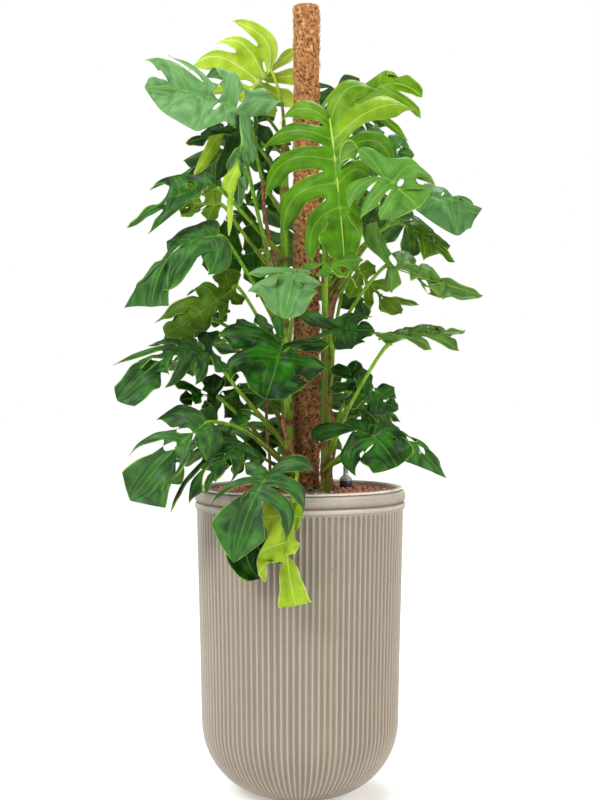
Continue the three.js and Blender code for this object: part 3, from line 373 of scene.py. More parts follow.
class Skin:
    """Points, faces and the values that the materials read, gathered for one mesh. Leaf blades,
    bent stalks and scattered granules and fibres follow curves that are worked out here, which
    no primitive or edit mode operator gives, so they are made point by point."""

    def __init__(self):
        self.points, self.faces, self.slots, self.values = [], [], [], []
        self.sharp = set()

    def add(self, point, value=(0, 0, 0)):
        self.points.append(point)
        self.values.append(value)
        return len(self.points) - 1

    def face(self, corners, slot=0):
        """Adds a face, without corners that come twice."""
        corners = [c for i, c in enumerate(corners) if c not in corners[:i]]
        if len(corners) > 2:
            self.faces.append(corners)
            self.slots.append(slot)

    def tube(self, line, radii, sides, slot=0, values=None, flat=1.0):
        """A tube along a line, closed at both ends; flat squeezes it towards the horizontal."""
        across = None
        rings = []
        for i, point in enumerate(line):
            tangent = (line[min(i + 1, len(line) - 1)] - line[max(i - 1, 0)]).normalized()
            if across is None:
                across = tangent.orthogonal().normalized()
            across = (across - tangent * across.dot(tangent)).normalized()
            upward = tangent.cross(across)
            value = values[i] if values else (0, 0, 0)
            ring = []
            for side in range(sides):
                angle = FULL_TURN * side / sides
                spoke = across * math.cos(angle) + upward * (math.sin(angle) * flat)
                ring.append(self.add(point + spoke * radii[i], value))
            rings.append(ring)
        for low, high in zip(rings, rings[1:]):
            for side in range(sides):
                turn = (side + 1) % sides
                self.face([low[side], low[turn], high[turn], high[side]], slot)
        self.face(rings[0][::-1], slot)
        self.face(rings[-1], slot)

    def piece(self, name, materials, attribute):
        """Makes the mesh, with its values under the attribute's name and its sharp points creased."""
        mesh = bpy.data.meshes.new(name)
        mesh.from_pydata(self.points, [], self.faces)
        mesh.polygons.foreach_set("material_index", self.slots)
        mesh.polygons.foreach_set("use_smooth", [True] * len(self.faces))
        for material in materials:
            mesh.materials.append(material)
        keep(mesh, attribute, self.values)
        if self.sharp:
            crease = mesh.attributes.new("crease_vert", "FLOAT", "POINT")
            crease.data.foreach_set("value", [float(i in self.sharp) for i in range(len(self.points))])
        mesh.update()
        return link(name, mesh)


def link(name, mesh):
    """Puts a mesh in the scene as an object."""
    made = bpy.data.objects.new(name, mesh)
    bpy.context.scene.collection.objects.link(made)
    return made


def only(piece):
    """Selects one piece and nothing else."""
    bpy.ops.object.select_all(action="DESELECT")
    piece.select_set(True)
    bpy.context.view_layer.objects.active = piece


def modify(piece, kind, **settings):
    """Adds a modifier and applies it."""
    only(piece)
    modifier = piece.modifiers.new(kind.title(), kind)
    for key, value in settings.items():
        setattr(modifier, key, value)
    bpy.ops.object.modifier_apply(modifier=modifier.name)


def turned(name, profile, steps, material, centre=Vector()):
    """A profile of (radius, height) in millimetres, spun round an upright axis in edit mode. No
    primitive has its points, so it is drawn from them."""
    mesh = bpy.data.meshes.new(name)
    points = [(centre.x + radius * MM, centre.y, height * MM) for radius, height in profile]
    mesh.from_pydata(points, [(i, i + 1) for i in range(len(points) - 1)], [])
    mesh.materials.append(material)
    made = link(name, mesh)
    only(made)
    bpy.ops.object.mode_set(mode="EDIT")
    bpy.ops.mesh.select_all(action="SELECT")
    bpy.ops.mesh.spin(steps=steps, angle=FULL_TURN, center=(centre.x, centre.y, 0), axis=(0, 0, 1))
    bpy.ops.mesh.select_all(action="SELECT")
    bpy.ops.mesh.remove_doubles(threshold=1e-6)
    bpy.ops.mesh.normals_make_consistent(inside=False)
    bpy.ops.object.mode_set(mode="OBJECT")
    bpy.ops.object.shade_smooth_by_angle(angle=math.radians(50))
    return made


def settle(piece, slot, *nodes):
    """Sets a piece on the root body and hides the nodes it stands for. Its slot is not used."""
    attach(piece, "root")
    if nodes:
        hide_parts(*nodes)


# Materials


def feed(node, inputs):
    """Sets a node's inputs: a value, a socket, or another node, whose first live output it takes."""
    for key, value in inputs.items():
        if isinstance(value, bpy.types.Node):
            value = next(socket for socket in value.outputs if socket.enabled)
        if isinstance(value, bpy.types.NodeSocket):
            node.id_data.links.new(value, node.inputs[key])
        else:
            node.inputs[key].default_value = value


def add(tree, kind, inputs=None, **settings):
    """Adds a shader node with its settings and inputs. A Mix node here mixes two colours, which
    are its inputs 6 and 7, and input 0 is the share of the second."""
    made = tree.nodes.new("ShaderNode" + kind)
    if kind == "Mix":
        made.data_type = "RGBA"
    for key, value in settings.items():
        setattr(made, key, value)
    feed(made, inputs or {})
    return made


def blank(name, **values):
    """A new material and its shader, with the shader's own sockets set."""
    material = bpy.data.materials.new(name)
    material.use_nodes = True
    shader = material.node_tree.nodes["Principled BSDF"]
    feed(shader, {key.replace("_", " "): value for key, value in values.items()})
    return material, material.node_tree, shader


def read(tree, name):
    """What the mesh keeps under a name: the whole vector, and its three numbers."""
    vector = add(tree, "Attribute", attribute_name=name).outputs["Vector"]
    return vector, *add(tree, "SeparateXYZ", {0: vector}).outputs


def living_leaf(name, dark, light, wax_and_sheen, sprout, fresh, rib, roughness, relief):
    """Living leaf, a waxy skin over soft tissue: satin, with finer veins between the main ones, a
    faint pale line along each vein and a thin pale margin. Its light and dark streaks along the
    lobes are painted sheen, and its bluish patches are partly the wax's blue green and partly
    painted sheen. Under "look" the blade keeps how light, blue and young it is, and under "vein"
    how far a point lies from its vein, from the midrib and from the margin."""
    material, tree, shader = blank(name, Roughness=roughness, IOR=1.48, Specular_IOR_Level=0.13)
    vein, from_vein, from_midrib, from_margin = read(tree, "vein")
    _, lightness, blue_and_sheen, youth = read(tree, "look")
    place = add(tree, "TexCoord").outputs["Object"]
    # mottled in patches 40 mm across
    mottle = add(tree, "TexNoise", {"Vector": place, "Scale": 26.0, "Detail": 3.0, "Roughness": 0.55})
    # slow pleats and streaks run along each lobe, 10 mm apart and 70 mm long: the pleats are bumped in, and
    # their light and dark streaks in the colour are painted sheen
    grain = add(tree, "Mapping", {"Vector": vein, "Scale": (100, 14, 0)})
    pleat_and_sheen_streak = add(tree, "TexNoise", {"Vector": grain, "Scale": 1.0, "Detail": 2.0, "Roughness": 0.5})
    # the blade is lightest beside the midrib
    inner = add(tree, "MapRange", {
        "Value": from_midrib, "From Max": 45 * MM, "To Min": 0.2, "To Max": 0.0})
    tone = add(tree, "Math", {0: mottle, 1: 1.1, 2: lightness}, operation="MULTIPLY_ADD")
    tone = add(tree, "Math", {0: tone, 1: inner})
    # light and dark streaks along the lobes: painted sheen
    tone = add(tree, "Math", {0: pleat_and_sheen_streak, 1: 1.1, 2: tone}, operation="MULTIPLY_ADD")
    tone = add(tree, "Math", {0: tone, 1: 1.17}, operation="SUBTRACT", use_clamp=True)
    green = add(tree, "Mix", {0: tone, 6: linear(dark), 7: linear(light)})
    # the blade shows bluer in patches: partly the wax's own blue green and partly painted sheen, the pale
    # reflection of the white studio
    wax_and_sheen_patches = add(tree, "MapRange", {
        "Value": pleat_and_sheen_streak, "From Min": 0.3, "From Max": 0.7, "To Min": 0.4, "To Max": 1.15})
    sheen = add(tree, "Math", {0: wax_and_sheen_patches, 1: blue_and_sheen}, operation="MULTIPLY", use_clamp=True)
    bluish = add(tree, "Mix", {0: sheen, 6: green, 7: linear(wax_and_sheen)})
    # a young blade is yellow green, and olive where the light goes through two layers of it
    ripe = add(tree, "MapRange", {"Value": mottle, "From Min": 0.3, "From Max": 0.62})
    tender = add(tree, "Mix", {0: ripe, 6: linear(sprout), 7: linear(fresh)})
    body = add(tree, "Mix", {0: youth, 6: bluish, 7: tender})
    # finer veins leave the main one at a slant, 9 mm apart, and wander by up to 5 mm
    slant = add(tree, "Math", {0: from_vein, 1: -0.75, 2: from_midrib}, operation="MULTIPLY_ADD")
    wander = add(tree, "Math", {0: mottle, 1: 5 * MM, 2: slant}, operation="MULTIPLY_ADD")
    turns = add(tree, "Math", {0: wander, 1: FULL_TURN / (9 * MM)}, operation="MULTIPLY")
    wave = add(tree, "Math", {0: turns}, operation="SINE")
    ripple = add(tree, "MapRange", {"Value": wave, "From Min": 0.5, "From Max": 1.0, "To Max": 0.015})
    # the line along a vein shows on light and young blades, and away from the margin
    line = add(tree, "MapRange", {
        "Value": from_vein, "From Min": 0.4 * MM, "From Max": 1.4 * MM, "To Min": 1.0, "To Max": 0.0})
    away = add(tree, "MapRange", {
        "Value": from_margin, "From Max": 22 * MM, "To Min": -0.03, "To Max": 0.03})
    bright = add(tree, "Math", {0: lightness, 1: 0.3, 2: away}, operation="MULTIPLY_ADD")
    bright = add(tree, "Math", {0: youth, 1: 0.2, 2: bright}, operation="MULTIPLY_ADD")
    near = add(tree, "Math", {0: line, 1: bright}, operation="MULTIPLY")
    hem = add(tree, "MapRange", {
        "Value": from_margin, "From Min": 0.6 * MM, "From Max": 1.9 * MM, "To Min": 1.0, "To Max": 0.0})
    patchy = add(tree, "MapRange", {
        "Value": mottle, "From Min": 0.4, "From Max": 0.58, "To Min": 0.14, "To Max": 0.6})
    hem = add(tree, "Math", {0: hem, 1: patchy}, operation="MULTIPLY")
    pale = add(tree, "Math", {0: near, 1: hem}, operation="MAXIMUM")
    pale = add(tree, "Math", {0: pale, 1: ripple}, operation="MAXIMUM")
    # veins are cream on a young blade
    pith = add(tree, "Mix", {0: youth, 6: linear(rib), 7: linear(YOUNG_VEIN)})
    lined = add(tree, "Mix", {0: pale, 6: body, 7: pith})
    pleats = add(tree, "Bump", {"Height": pleat_and_sheen_streak, "Strength": 0.4, "Distance": 3 * MM})
    bump = add(tree, "Bump", {
        "Height": wave, "Strength": relief, "Distance": 0.35 * MM, "Normal": pleats})
    feed(shader, {"Base Color": lined, "Normal": bump})
    return material


def vein_tissue(name, dull, bright):
    """Leaf rib, firm and smooth green flesh: yellower than the blade, brightest on light leaves."""
    material, tree, shader = blank(name, Roughness=0.42, IOR=1.45)
    _, lightness, _, youth = read(tree, "look")
    both = add(tree, "Math", {0: lightness, 1: youth})
    lift = add(tree, "MapRange", {"Value": both, "From Min": 0.25, "From Max": 0.9})
    tint = add(tree, "Mix", {0: lift, 6: linear(dull), 7: linear(bright)})
    feed(shader, {"Base Color": tint})
    return material


def green_stalk(name, low, high, fresh, node_colour):
    """Stalks and stems, smooth fibrous green skin with fine lines along it. Under "vein" they keep
    how brown with age and how yellow with youth they are."""
    material, tree, shader = blank(name, Roughness=0.45, IOR=1.45, Specular_IOR_Level=0.2)
    _, age, youth, _ = read(tree, "vein")
    place = add(tree, "TexCoord").outputs["Object"]
    # lines 8 mm apart and 40 mm long, coarser than the real ones, which wouldn't show
    stretch = add(tree, "Mapping", {"Vector": place, "Scale": (130, 130, 24)})
    lines = add(tree, "TexNoise", {"Vector": stretch, "Scale": 1.0, "Detail": 2.0})
    blend = add(tree, "MapRange", {"Value": lines, "From Min": 0.25, "From Max": 0.75})
    green = add(tree, "Mix", {0: blend, 6: linear(low), 7: linear(high)})
    green = add(tree, "Mix", {0: youth, 6: green, 7: linear(fresh)})
    worn = add(tree, "Math", {0: lines, 1: 0.5, 2: age}, operation="MULTIPLY_ADD")
    part = add(tree, "MapRange", {"Value": worn, "From Min": 0.45, "From Max": 0.95})
    whole = add(tree, "Mix", {0: part, 6: green, 7: linear(node_colour)})
    bump = add(tree, "Bump", {"Height": lines, "Strength": 0.35, "Distance": 0.5 * MM})
    feed(shader, {"Base Color": whole, "Normal": bump})
    return material


def speckled(name, first, second, grain, roughness, relief, **values):
    """A material of two tones mixed in a grain of that many metres, with relief to match."""
    material, tree, shader = blank(name, Roughness=roughness, **values)
    place = add(tree, "TexCoord").outputs["Object"]
    cloud = add(tree, "TexNoise", {
        "Vector": place, "Scale": 1 / grain, "Detail": 5.0, "Roughness": 0.6})
    blend = add(tree, "MapRange", {"Value": cloud, "From Min": 0.35, "From Max": 0.65})
    tint = add(tree, "Mix", {0: blend, 6: linear(first), 7: linear(second)})
    bump = add(tree, "Bump", {"Height": cloud, "Strength": 0.8, "Distance": relief})
    feed(shader, {"Base Color": tint, "Normal": bump})
    return material


def matted_fibre(name, deep, middle, high, painted_shade):
    """Matted coconut fibre: hairy and quite dull, dark in its pits and straw brown on its lumps,
    which is partly its hair's own grain and partly painted shade in the pits and painted highlight
    on the lumps, and darker lower down, which is painted shade. Under "height" the sleeve keeps
    how far a point stands out, in millimetres."""
    material, tree, shader = blank(name, Roughness=0.95, Specular_IOR_Level=0.1)
    _, height, _, _ = read(tree, "height")
    place = add(tree, "TexCoord").outputs["Object"]
    # hairs lie round the pole, 1 mm thick, coarser than the real ones, which wouldn't show
    squeeze = add(tree, "Mapping", {"Vector": place, "Scale": (420, 420, 900)})
    hair = add(tree, "TexNoise", {"Vector": squeeze, "Scale": 1.0, "Detail": 3.0, "Roughness": 0.7})
    # pits are painted darker as shade and lumps paler as highlight, mixed with the hair's own grain
    rise = add(tree, "Math", {0: hair, 1: 2.6, 2: height}, operation="MULTIPLY_ADD")
    pits = add(tree, "MapRange", {"Value": rise, "From Min": 0.2, "From Max": 1.8})
    lumps = add(tree, "MapRange", {"Value": rise, "From Min": 1.7, "From Max": 3.4})
    body = add(tree, "Mix", {0: pits, 6: linear(deep), 7: linear(middle)})
    dry = add(tree, "Mix", {0: lumps, 6: body, 7: linear(high)})
    spot = add(tree, "SeparateXYZ", {0: place})
    # the pole is painted darker lower down: painted shade
    painted_shade_share = add(tree, "MapRange", {
        "Value": spot.outputs["Z"], "From Min": 0.8, "From Max": 1.3, "To Min": 0.55, "To Max": 0.0})
    whole = add(tree, "Mix", {0: painted_shade_share, 6: dry, 7: linear(painted_shade)})
    bump = add(tree, "Bump", {"Height": hair, "Strength": 0.9, "Distance": 1.5 * MM})
    feed(shader, {"Base Color": whole, "Normal": bump})
    return material


def fibre_clay(name, ridge, flute, stain, lip):
    """Cast fibre clay with a sanded wash: chalky and matt, paler where ridges are rubbed and palest
    on the lip, browner in the flutes, with slow cloudy stains, fine sand and small dark pits. On
    the rim the tops of the bead, roll and lip are paler as painted highlight, the grooves darker
    as painted shade, and the inner wall, which lies in shade, pale as painted light. Under
    "height" the wall keeps how pale a point is painted, rubbed and lit."""
    material, tree, shader = blank(name, Roughness=0.88)
    _, height, _, _ = read(tree, "height")
    place = add(tree, "TexCoord").outputs["Object"]
    # sand of 1 mm, pits 4 mm apart, and clouds 30 mm wide that run down the wall for 200 mm
    sand = add(tree, "TexNoise", {"Vector": place, "Scale": 900.0, "Detail": 2.0})
    long_way = add(tree, "Mapping", {"Vector": place, "Scale": (30, 30, 5)})
    cloud = add(tree, "TexNoise", {"Vector": long_way, "Scale": 1.0, "Detail": 4.0, "Roughness": 0.6})
    # paler on rubbed ridges, and on the rim with painted highlight on the tops and painted shade in the
    # grooves
    rubbed_and_lit = add(tree, "Math", {0: cloud, 1: 0.5, 2: height}, operation="MULTIPLY_ADD")
    rubbed_and_lit = add(tree, "MapRange", {"Value": rubbed_and_lit, "From Min": 0.45, "From Max": 1.1})
    wash = add(tree, "Mix", {0: rubbed_and_lit, 6: linear(flute), 7: ridge})
    # the lip is palest, and so is the inner wall, as painted light, though it lies in shade
    edge = add(tree, "MapRange", {"Value": height, "From Min": 1.05, "From Max": 1.6})
    worn = add(tree, "Mix", {0: edge, 6: wash, 7: linear(lip)})
    patch = add(tree, "MapRange", {"Value": cloud, "From Min": 0.52, "From Max": 0.75, "To Max": 0.4})
    aged = add(tree, "Mix", {0: patch, 6: worn, 7: linear(stain)})
    grit = add(tree, "MapRange", {
        "Value": sand, "From Min": 0.3, "From Max": 0.7, "To Min": 0.86, "To Max": 1.08})
    pits = add(tree, "TexNoise", {"Vector": place, "Scale": 260.0, "Detail": 1.0})
    pit = add(tree, "MapRange", {
        "Value": pits, "From Min": 0.7, "From Max": 0.78, "To Min": 1.0, "To Max": 0.6})
    shade = add(tree, "Math", {0: grit, 1: pit}, operation="MULTIPLY")
    grained = add(tree, "VectorMath", {0: aged, "Scale": shade}, operation="SCALE")
    bump = add(tree, "Bump", {"Height": sand, "Strength": 0.5, "Distance": 0.4 * MM})
    feed(shader, {"Base Color": grained, "Normal": bump})
    return material


def float_red(name, rod, tip, top):
    """Moulded polystyrene, satin: a pale rod that turns red at its tip, faintly uneven."""
    material, tree, shader = blank(name, Roughness=0.35, IOR=1.59)
    place = add(tree, "TexCoord").outputs["Object"]
    # the colour's edge wanders by up to 1 mm every 8 mm
    cloud = add(tree, "TexNoise", {"Vector": place, "Scale": 120.0})
    spot = add(tree, "SeparateXYZ", {0: place})
    wander = add(tree, "Math", {0: cloud, 1: 1 * MM, 2: spot.outputs["Z"]}, operation="MULTIPLY_ADD")
    part = add(tree, "MapRange", {"Value": wander, "From Min": top, "From Max": top + 1 * MM})
    tint = add(tree, "Mix", {0: part, 6: linear(rod), 7: linear(tip)})
    feed(shader, {"Base Color": tint})
    return material


def fired_clay(name, first, second, stain, dust):
    """Fired expanded clay: dull red-brown with a dusty skin. Under "tint" each granule keeps its
    own tint and how high on it a point is, as it is painted darker towards its underside: painted
    shade."""
    material, tree, shader = blank(name, Roughness=0.85)
    _, own, height, _ = read(tree, "tint")
    place = add(tree, "TexCoord").outputs["Object"]
    # the dust lies in spots of about 2 mm
    skin = add(tree, "TexNoise", {"Vector": place, "Scale": 420.0, "Detail": 3.0})
    body = add(tree, "Mix", {0: own, 6: linear(first), 7: linear(second)})
    # darker towards each granule's underside: painted shade
    under = add(tree, "MapRange", {
        "Value": height, "From Min": -0.3, "From Max": 0.35, "To Min": 0.75, "To Max": 0.0})
    body = add(tree, "Mix", {0: under, 6: body, 7: linear(stain)})
    chalk = add(tree, "MapRange", {"Value": skin, "From Min": 0.5, "From Max": 0.72, "To Max": 0.4})
    dusty = add(tree, "Mix", {0: chalk, 6: body, 7: linear(dust)})
    bump = add(tree, "Bump", {"Height": skin, "Strength": 0.7, "Distance": 0.6 * MM})
    feed(shader, {"Base Color": dusty, "Normal": bump})
    return material


# Leaves

BASE_CLOSES = 0.56  # how far along a lobe its long curved edge starts to close
APEX_CLOSES = 0.76  # the same for its short edge
END_FULL = 0.97  # how full the end lobe is at its widest
END_WIDEST = 0.34  # how far along it is widest
ROUNDNESS = 0.85  # how round it starts and closes, less for rounder
FAN_BACK, FAN_AHEAD = 126, 46  # degrees off the midrib of the first and last lobe, laid out by rule
JOINED = 0.9  # a cut from here on leaves two lobes joined to their tips
OFF_VEIN = 20 * MM  # how far a lobe's edge is taken to lie from its vein
ROWS, FEW_ROWS = 16, 12  # rows of faces along a lobe, and along one of a small or hidden leaf
SMALL_LEAF = 120 * MM  # a leaf shorter than this is a small one
RIB_STEPS = 16  # lengths of tube in a midrib
RIB_FOOT, RIB_TIP = 2.6 * MM, 0.7 * MM  # radius of a large leaf's midrib


def base_fullness(r):
    """How full a lobe is at r on its long curved side, from the midrib, 0, to its tip, 1."""
    closed = max(0, (r - BASE_CLOSES) / (1 - BASE_CLOSES))
    return max(0, 1 - closed ** 2.4) ** 0.75


def apex_fullness(r):
    """How full a lobe is on its short side, cut back slantwise to the tip."""
    closed = max(0, (r - APEX_CLOSES) / (1 - APEX_CLOSES))
    return max(0, 1 - closed) ** 1.1


def opened(r, widest):
    """How far the end lobe has opened at r, if it is widest there."""
    return math.sin(math.pi / 2 * min(1, r / widest)) ** ROUNDNESS


def end_fullness(r, square):
    """How full the end lobe is: drawn out to a point, cut off square where that is 1, or, where it
    is negative, a kite with its corners at that distance."""
    if square < 0:
        corner = -square
        rise = (0.3 + 0.7 * min(1, r / corner)) * opened(r, 0.3)
        return END_FULL * rise * min(1, (1 - r) / (1 - corner)) ** ROUNDNESS
    if r < END_WIDEST:
        return END_FULL * opened(r, END_WIDEST)
    narrowed = 0.66 * (1 - square) * ((r - END_WIDEST) / (1 - END_WIDEST)) ** 1.3
    closed = min(1, max(0, 1 - r) / 0.12) ** max(0.02, ROUNDNESS - 0.4 * square)
    return END_FULL * (1 - narrowed) * closed


def end_corner(square):
    """Where the end lobe has its corners: near its tip, unless it is a kite."""
    return -square if square < 0 else min(0.96, 0.84 + 0.06 * square)


def outward(point):
    """The way that a leaf there faces: away from the pole and half as much up."""
    flat = Vector((point.x - POLE.x, point.y - POLE.y, 0)).normalized()
    return flat + Vector((0, 0, 0.5))


def mean(points):
    """The point in the middle of some points."""
    return sum(points, Vector()) / len(points)


def gap_number(k, towards):
    """The number of the gap on one side of lobe k: its own beyond it, or that of the one before."""
    return k if towards > 0 else k - 1


class Leaf:
    """One leaf's lobes, midrib and veins, from its line in the table. Its lobes are numbered from
    the base, and on either side the end lobe counts as one more. The seed sets its waves."""

    def __init__(self, plan, seed=0.0):
        self.plan, self.seed = plan, seed
        self.look = plan.get("look", SHADED_LOOK)
        self.holes = {}
        self.at, self.tip = seen(plan["at"]), seen(plan["tip"])
        self.length = (self.tip - self.at).length
        middle = (self.at + self.tip) / 2
        if "lobes" in plan:
            self.fan_out()
        else:
            self.tips = {side: [seen(p) for p in plan[side]] for side in SIDES}
            across = mean(self.tips["two"]) - mean(self.tips["one"])
            self.normal = across.cross(self.tip - self.at).normalized()
            if outward(middle).dot(self.normal) * plan.get("face", 1) < 0:
                self.normal.negate()
        if "mid" in plan:
            pull = middle.lerp(seen(plan["mid"]), 2)
        else:
            pull = middle + self.normal * (MIDRIB_ARCH * self.length)
        self.midrib = Bend(self.at, pull, self.tip)
        self.front = self.normal.lerp(Vector((0, -1, 0)), plan.get("faced", 0)).normalized()
        self.count = len(self.tips["one"])
        self.last = plan.get("last", 0.62)
        # the lobes' feet lie closer together towards the base
        self.bounds = [self.last * (k / self.count) ** 1.2 for k in range(self.count + 1)]
        self.curves = {side: [self.lobe(side, k) for k in range(self.count)] for side in SIDES}
        self.cuts = {side: plan.get("cut_" + side, ()) for side in SIDES}
        self.broad = {side: plan.get("broad_" + side, ()) for side in SIDES}
        self.ends = dict(zip(SIDES, plan.get("end", (24, 24))))
        self.square = plan.get("square", 0)

    def fan_out(self):
        """Lobes fan out from behind the stalk to beside the end lobe, and droop."""
        along = (self.tip - self.at).normalized()
        across = along.cross(outward(self.at)).normalized()
        self.normal = across.cross(along).normalized()
        lobes, half_width = self.plan["lobes"], 0.5 * self.plan["width"] * MM
        self.tips = {"one": [], "two": []}
        for side, sign in (("one", 1), ("two", -1)):
            for k in range(lobes):
                part = k / (lobes - 1)
                angle = math.radians(FAN_BACK - (FAN_BACK - FAN_AHEAD) * part)
                reach = half_width * (0.86 + 0.3 * part - 0.34 * part * part)
                self.tips[side].append(
                    self.at + along * (0.55 * part * self.length + reach * math.cos(angle))
                    + across * (sign * reach * math.sin(angle)) - self.normal * (0.22 * reach)
                )

    def lobe(self, side, k):
        """The curve of a lobe's vein."""
        root = self.midrib.point((self.bounds[k] + self.bounds[k + 1]) / 2)
        tip = self.tips[side][k]
        reach = (tip - root).length
        own = self.plan.get(side, [()] * self.count)[k]
        if len(own) > 3:
            forward = (-root.y / MM + own[2]) / 2
            pull = seen((own[3], own[4], forward + LOBE_ARCH / 2 * reach / MM))
        else:
            pull = (root + tip) / 2 + self.normal * (LOBE_ARCH * reach)
        return Bend(root, pull, tip)

    def pierce(self, draw):
        """Opens small holes beside the midrib of a mature leaf, and those that the table gives."""
        for side in SIDES:
            for k in range(self.count):
                if self.cut(side, k) > 0.26 and draw.random() < self.plan.get("holed", 0.35):
                    self.holes[side, k] = SMALL_HOLE
        self.holes |= self.plan.get("holes", {})

    def across_end(self, side, r):
        """The midrib in the end lobe, the way across it to one side, and the way along it."""
        s = self.last + r * (1 - self.last)
        way = self.curves[side][-1].point(0.5) - self.midrib.point(self.last)
        tangent = self.midrib.tangent(min(s, 0.999))
        level = self.front.cross(tangent).normalized()
        if level.dot(way) < 0:
            level.negate()
        return self.midrib.point(s), level, tangent

    def vein(self, side, k, r):
        """A point of lobe k's vein, or of the midrib in the end lobe."""
        return self.across_end(side, r)[0] if k == self.count else self.curves[side][k].point(r)

    def cut(self, side, k):
        """How far from the midrib the gap beyond lobe k starts."""
        if k < 0:
            return 0.0
        return self.cuts[side][k] if k < len(self.cuts[side]) else CUT

    def gap(self, side, k, r):
        """Half width of the gap beyond lobe k at r: the cut between lobes, or a hole."""
        cut = self.cut(side, k)
        if r > cut:
            return SINUS * min(1, (r - cut) / 0.1) ** 0.5 * (0.8 + 0.7 * r)
        low, high, half = self.holes.get((side, k), (0, 0, 0))
        if low < r < high:
            return half * MM * (1 - ((2 * r - low - high) / (high - low)) ** 2) ** 0.5
        return 0.0

    def edge(self, side, k, r, towards):
        """A point of lobe k's edge, on the side of the next lobe, 1, or of the one before, -1."""
        if k == self.count:
            middle, way, _ = self.across_end(side, r)
            return middle + way * (self.ends[side] * MM * end_fullness(r, self.square))
        curve = self.curves[side][k]
        middle, tangent = curve.point(r), curve.tangent(r)
        # the lobe nearest the stalk has none before it, so that edge mirrors its other one
        alone = k + towards < 0
        partner = 1 if alone else k + towards
        if partner >= self.count:
            way = self.edge(side, self.count, r, -1) - middle
            share = 0.94
        else:
            way = self.curves[side][partner].point(r) - middle
            share = 0.5
        way -= tangent * way.dot(tangent)
        room = way.length * share
        free = SINUS if alone else self.gap(side, gap_number(k, towards), r)
        room = max(room - min(free, 0.3 * room), 1 * MM)
        broad = (self.broad[side][k] if k < len(self.broad[side]) else LOBE_WIDTH) * MM
        if self.plan.get("faced", 0) == 1:
            level = self.front.cross(tangent)
            way = level * (1 if level.dot(way) > 0 else -1)
            room = broad
        full = apex_fullness(r) if towards > 0 else base_fullness(r)
        wave = 1 + 0.05 * math.sin(9 * r + 5 * k + self.seed)
        if alone:
            way.negate()
        return middle + way.normalized() * (min(room, broad) * full * wave)


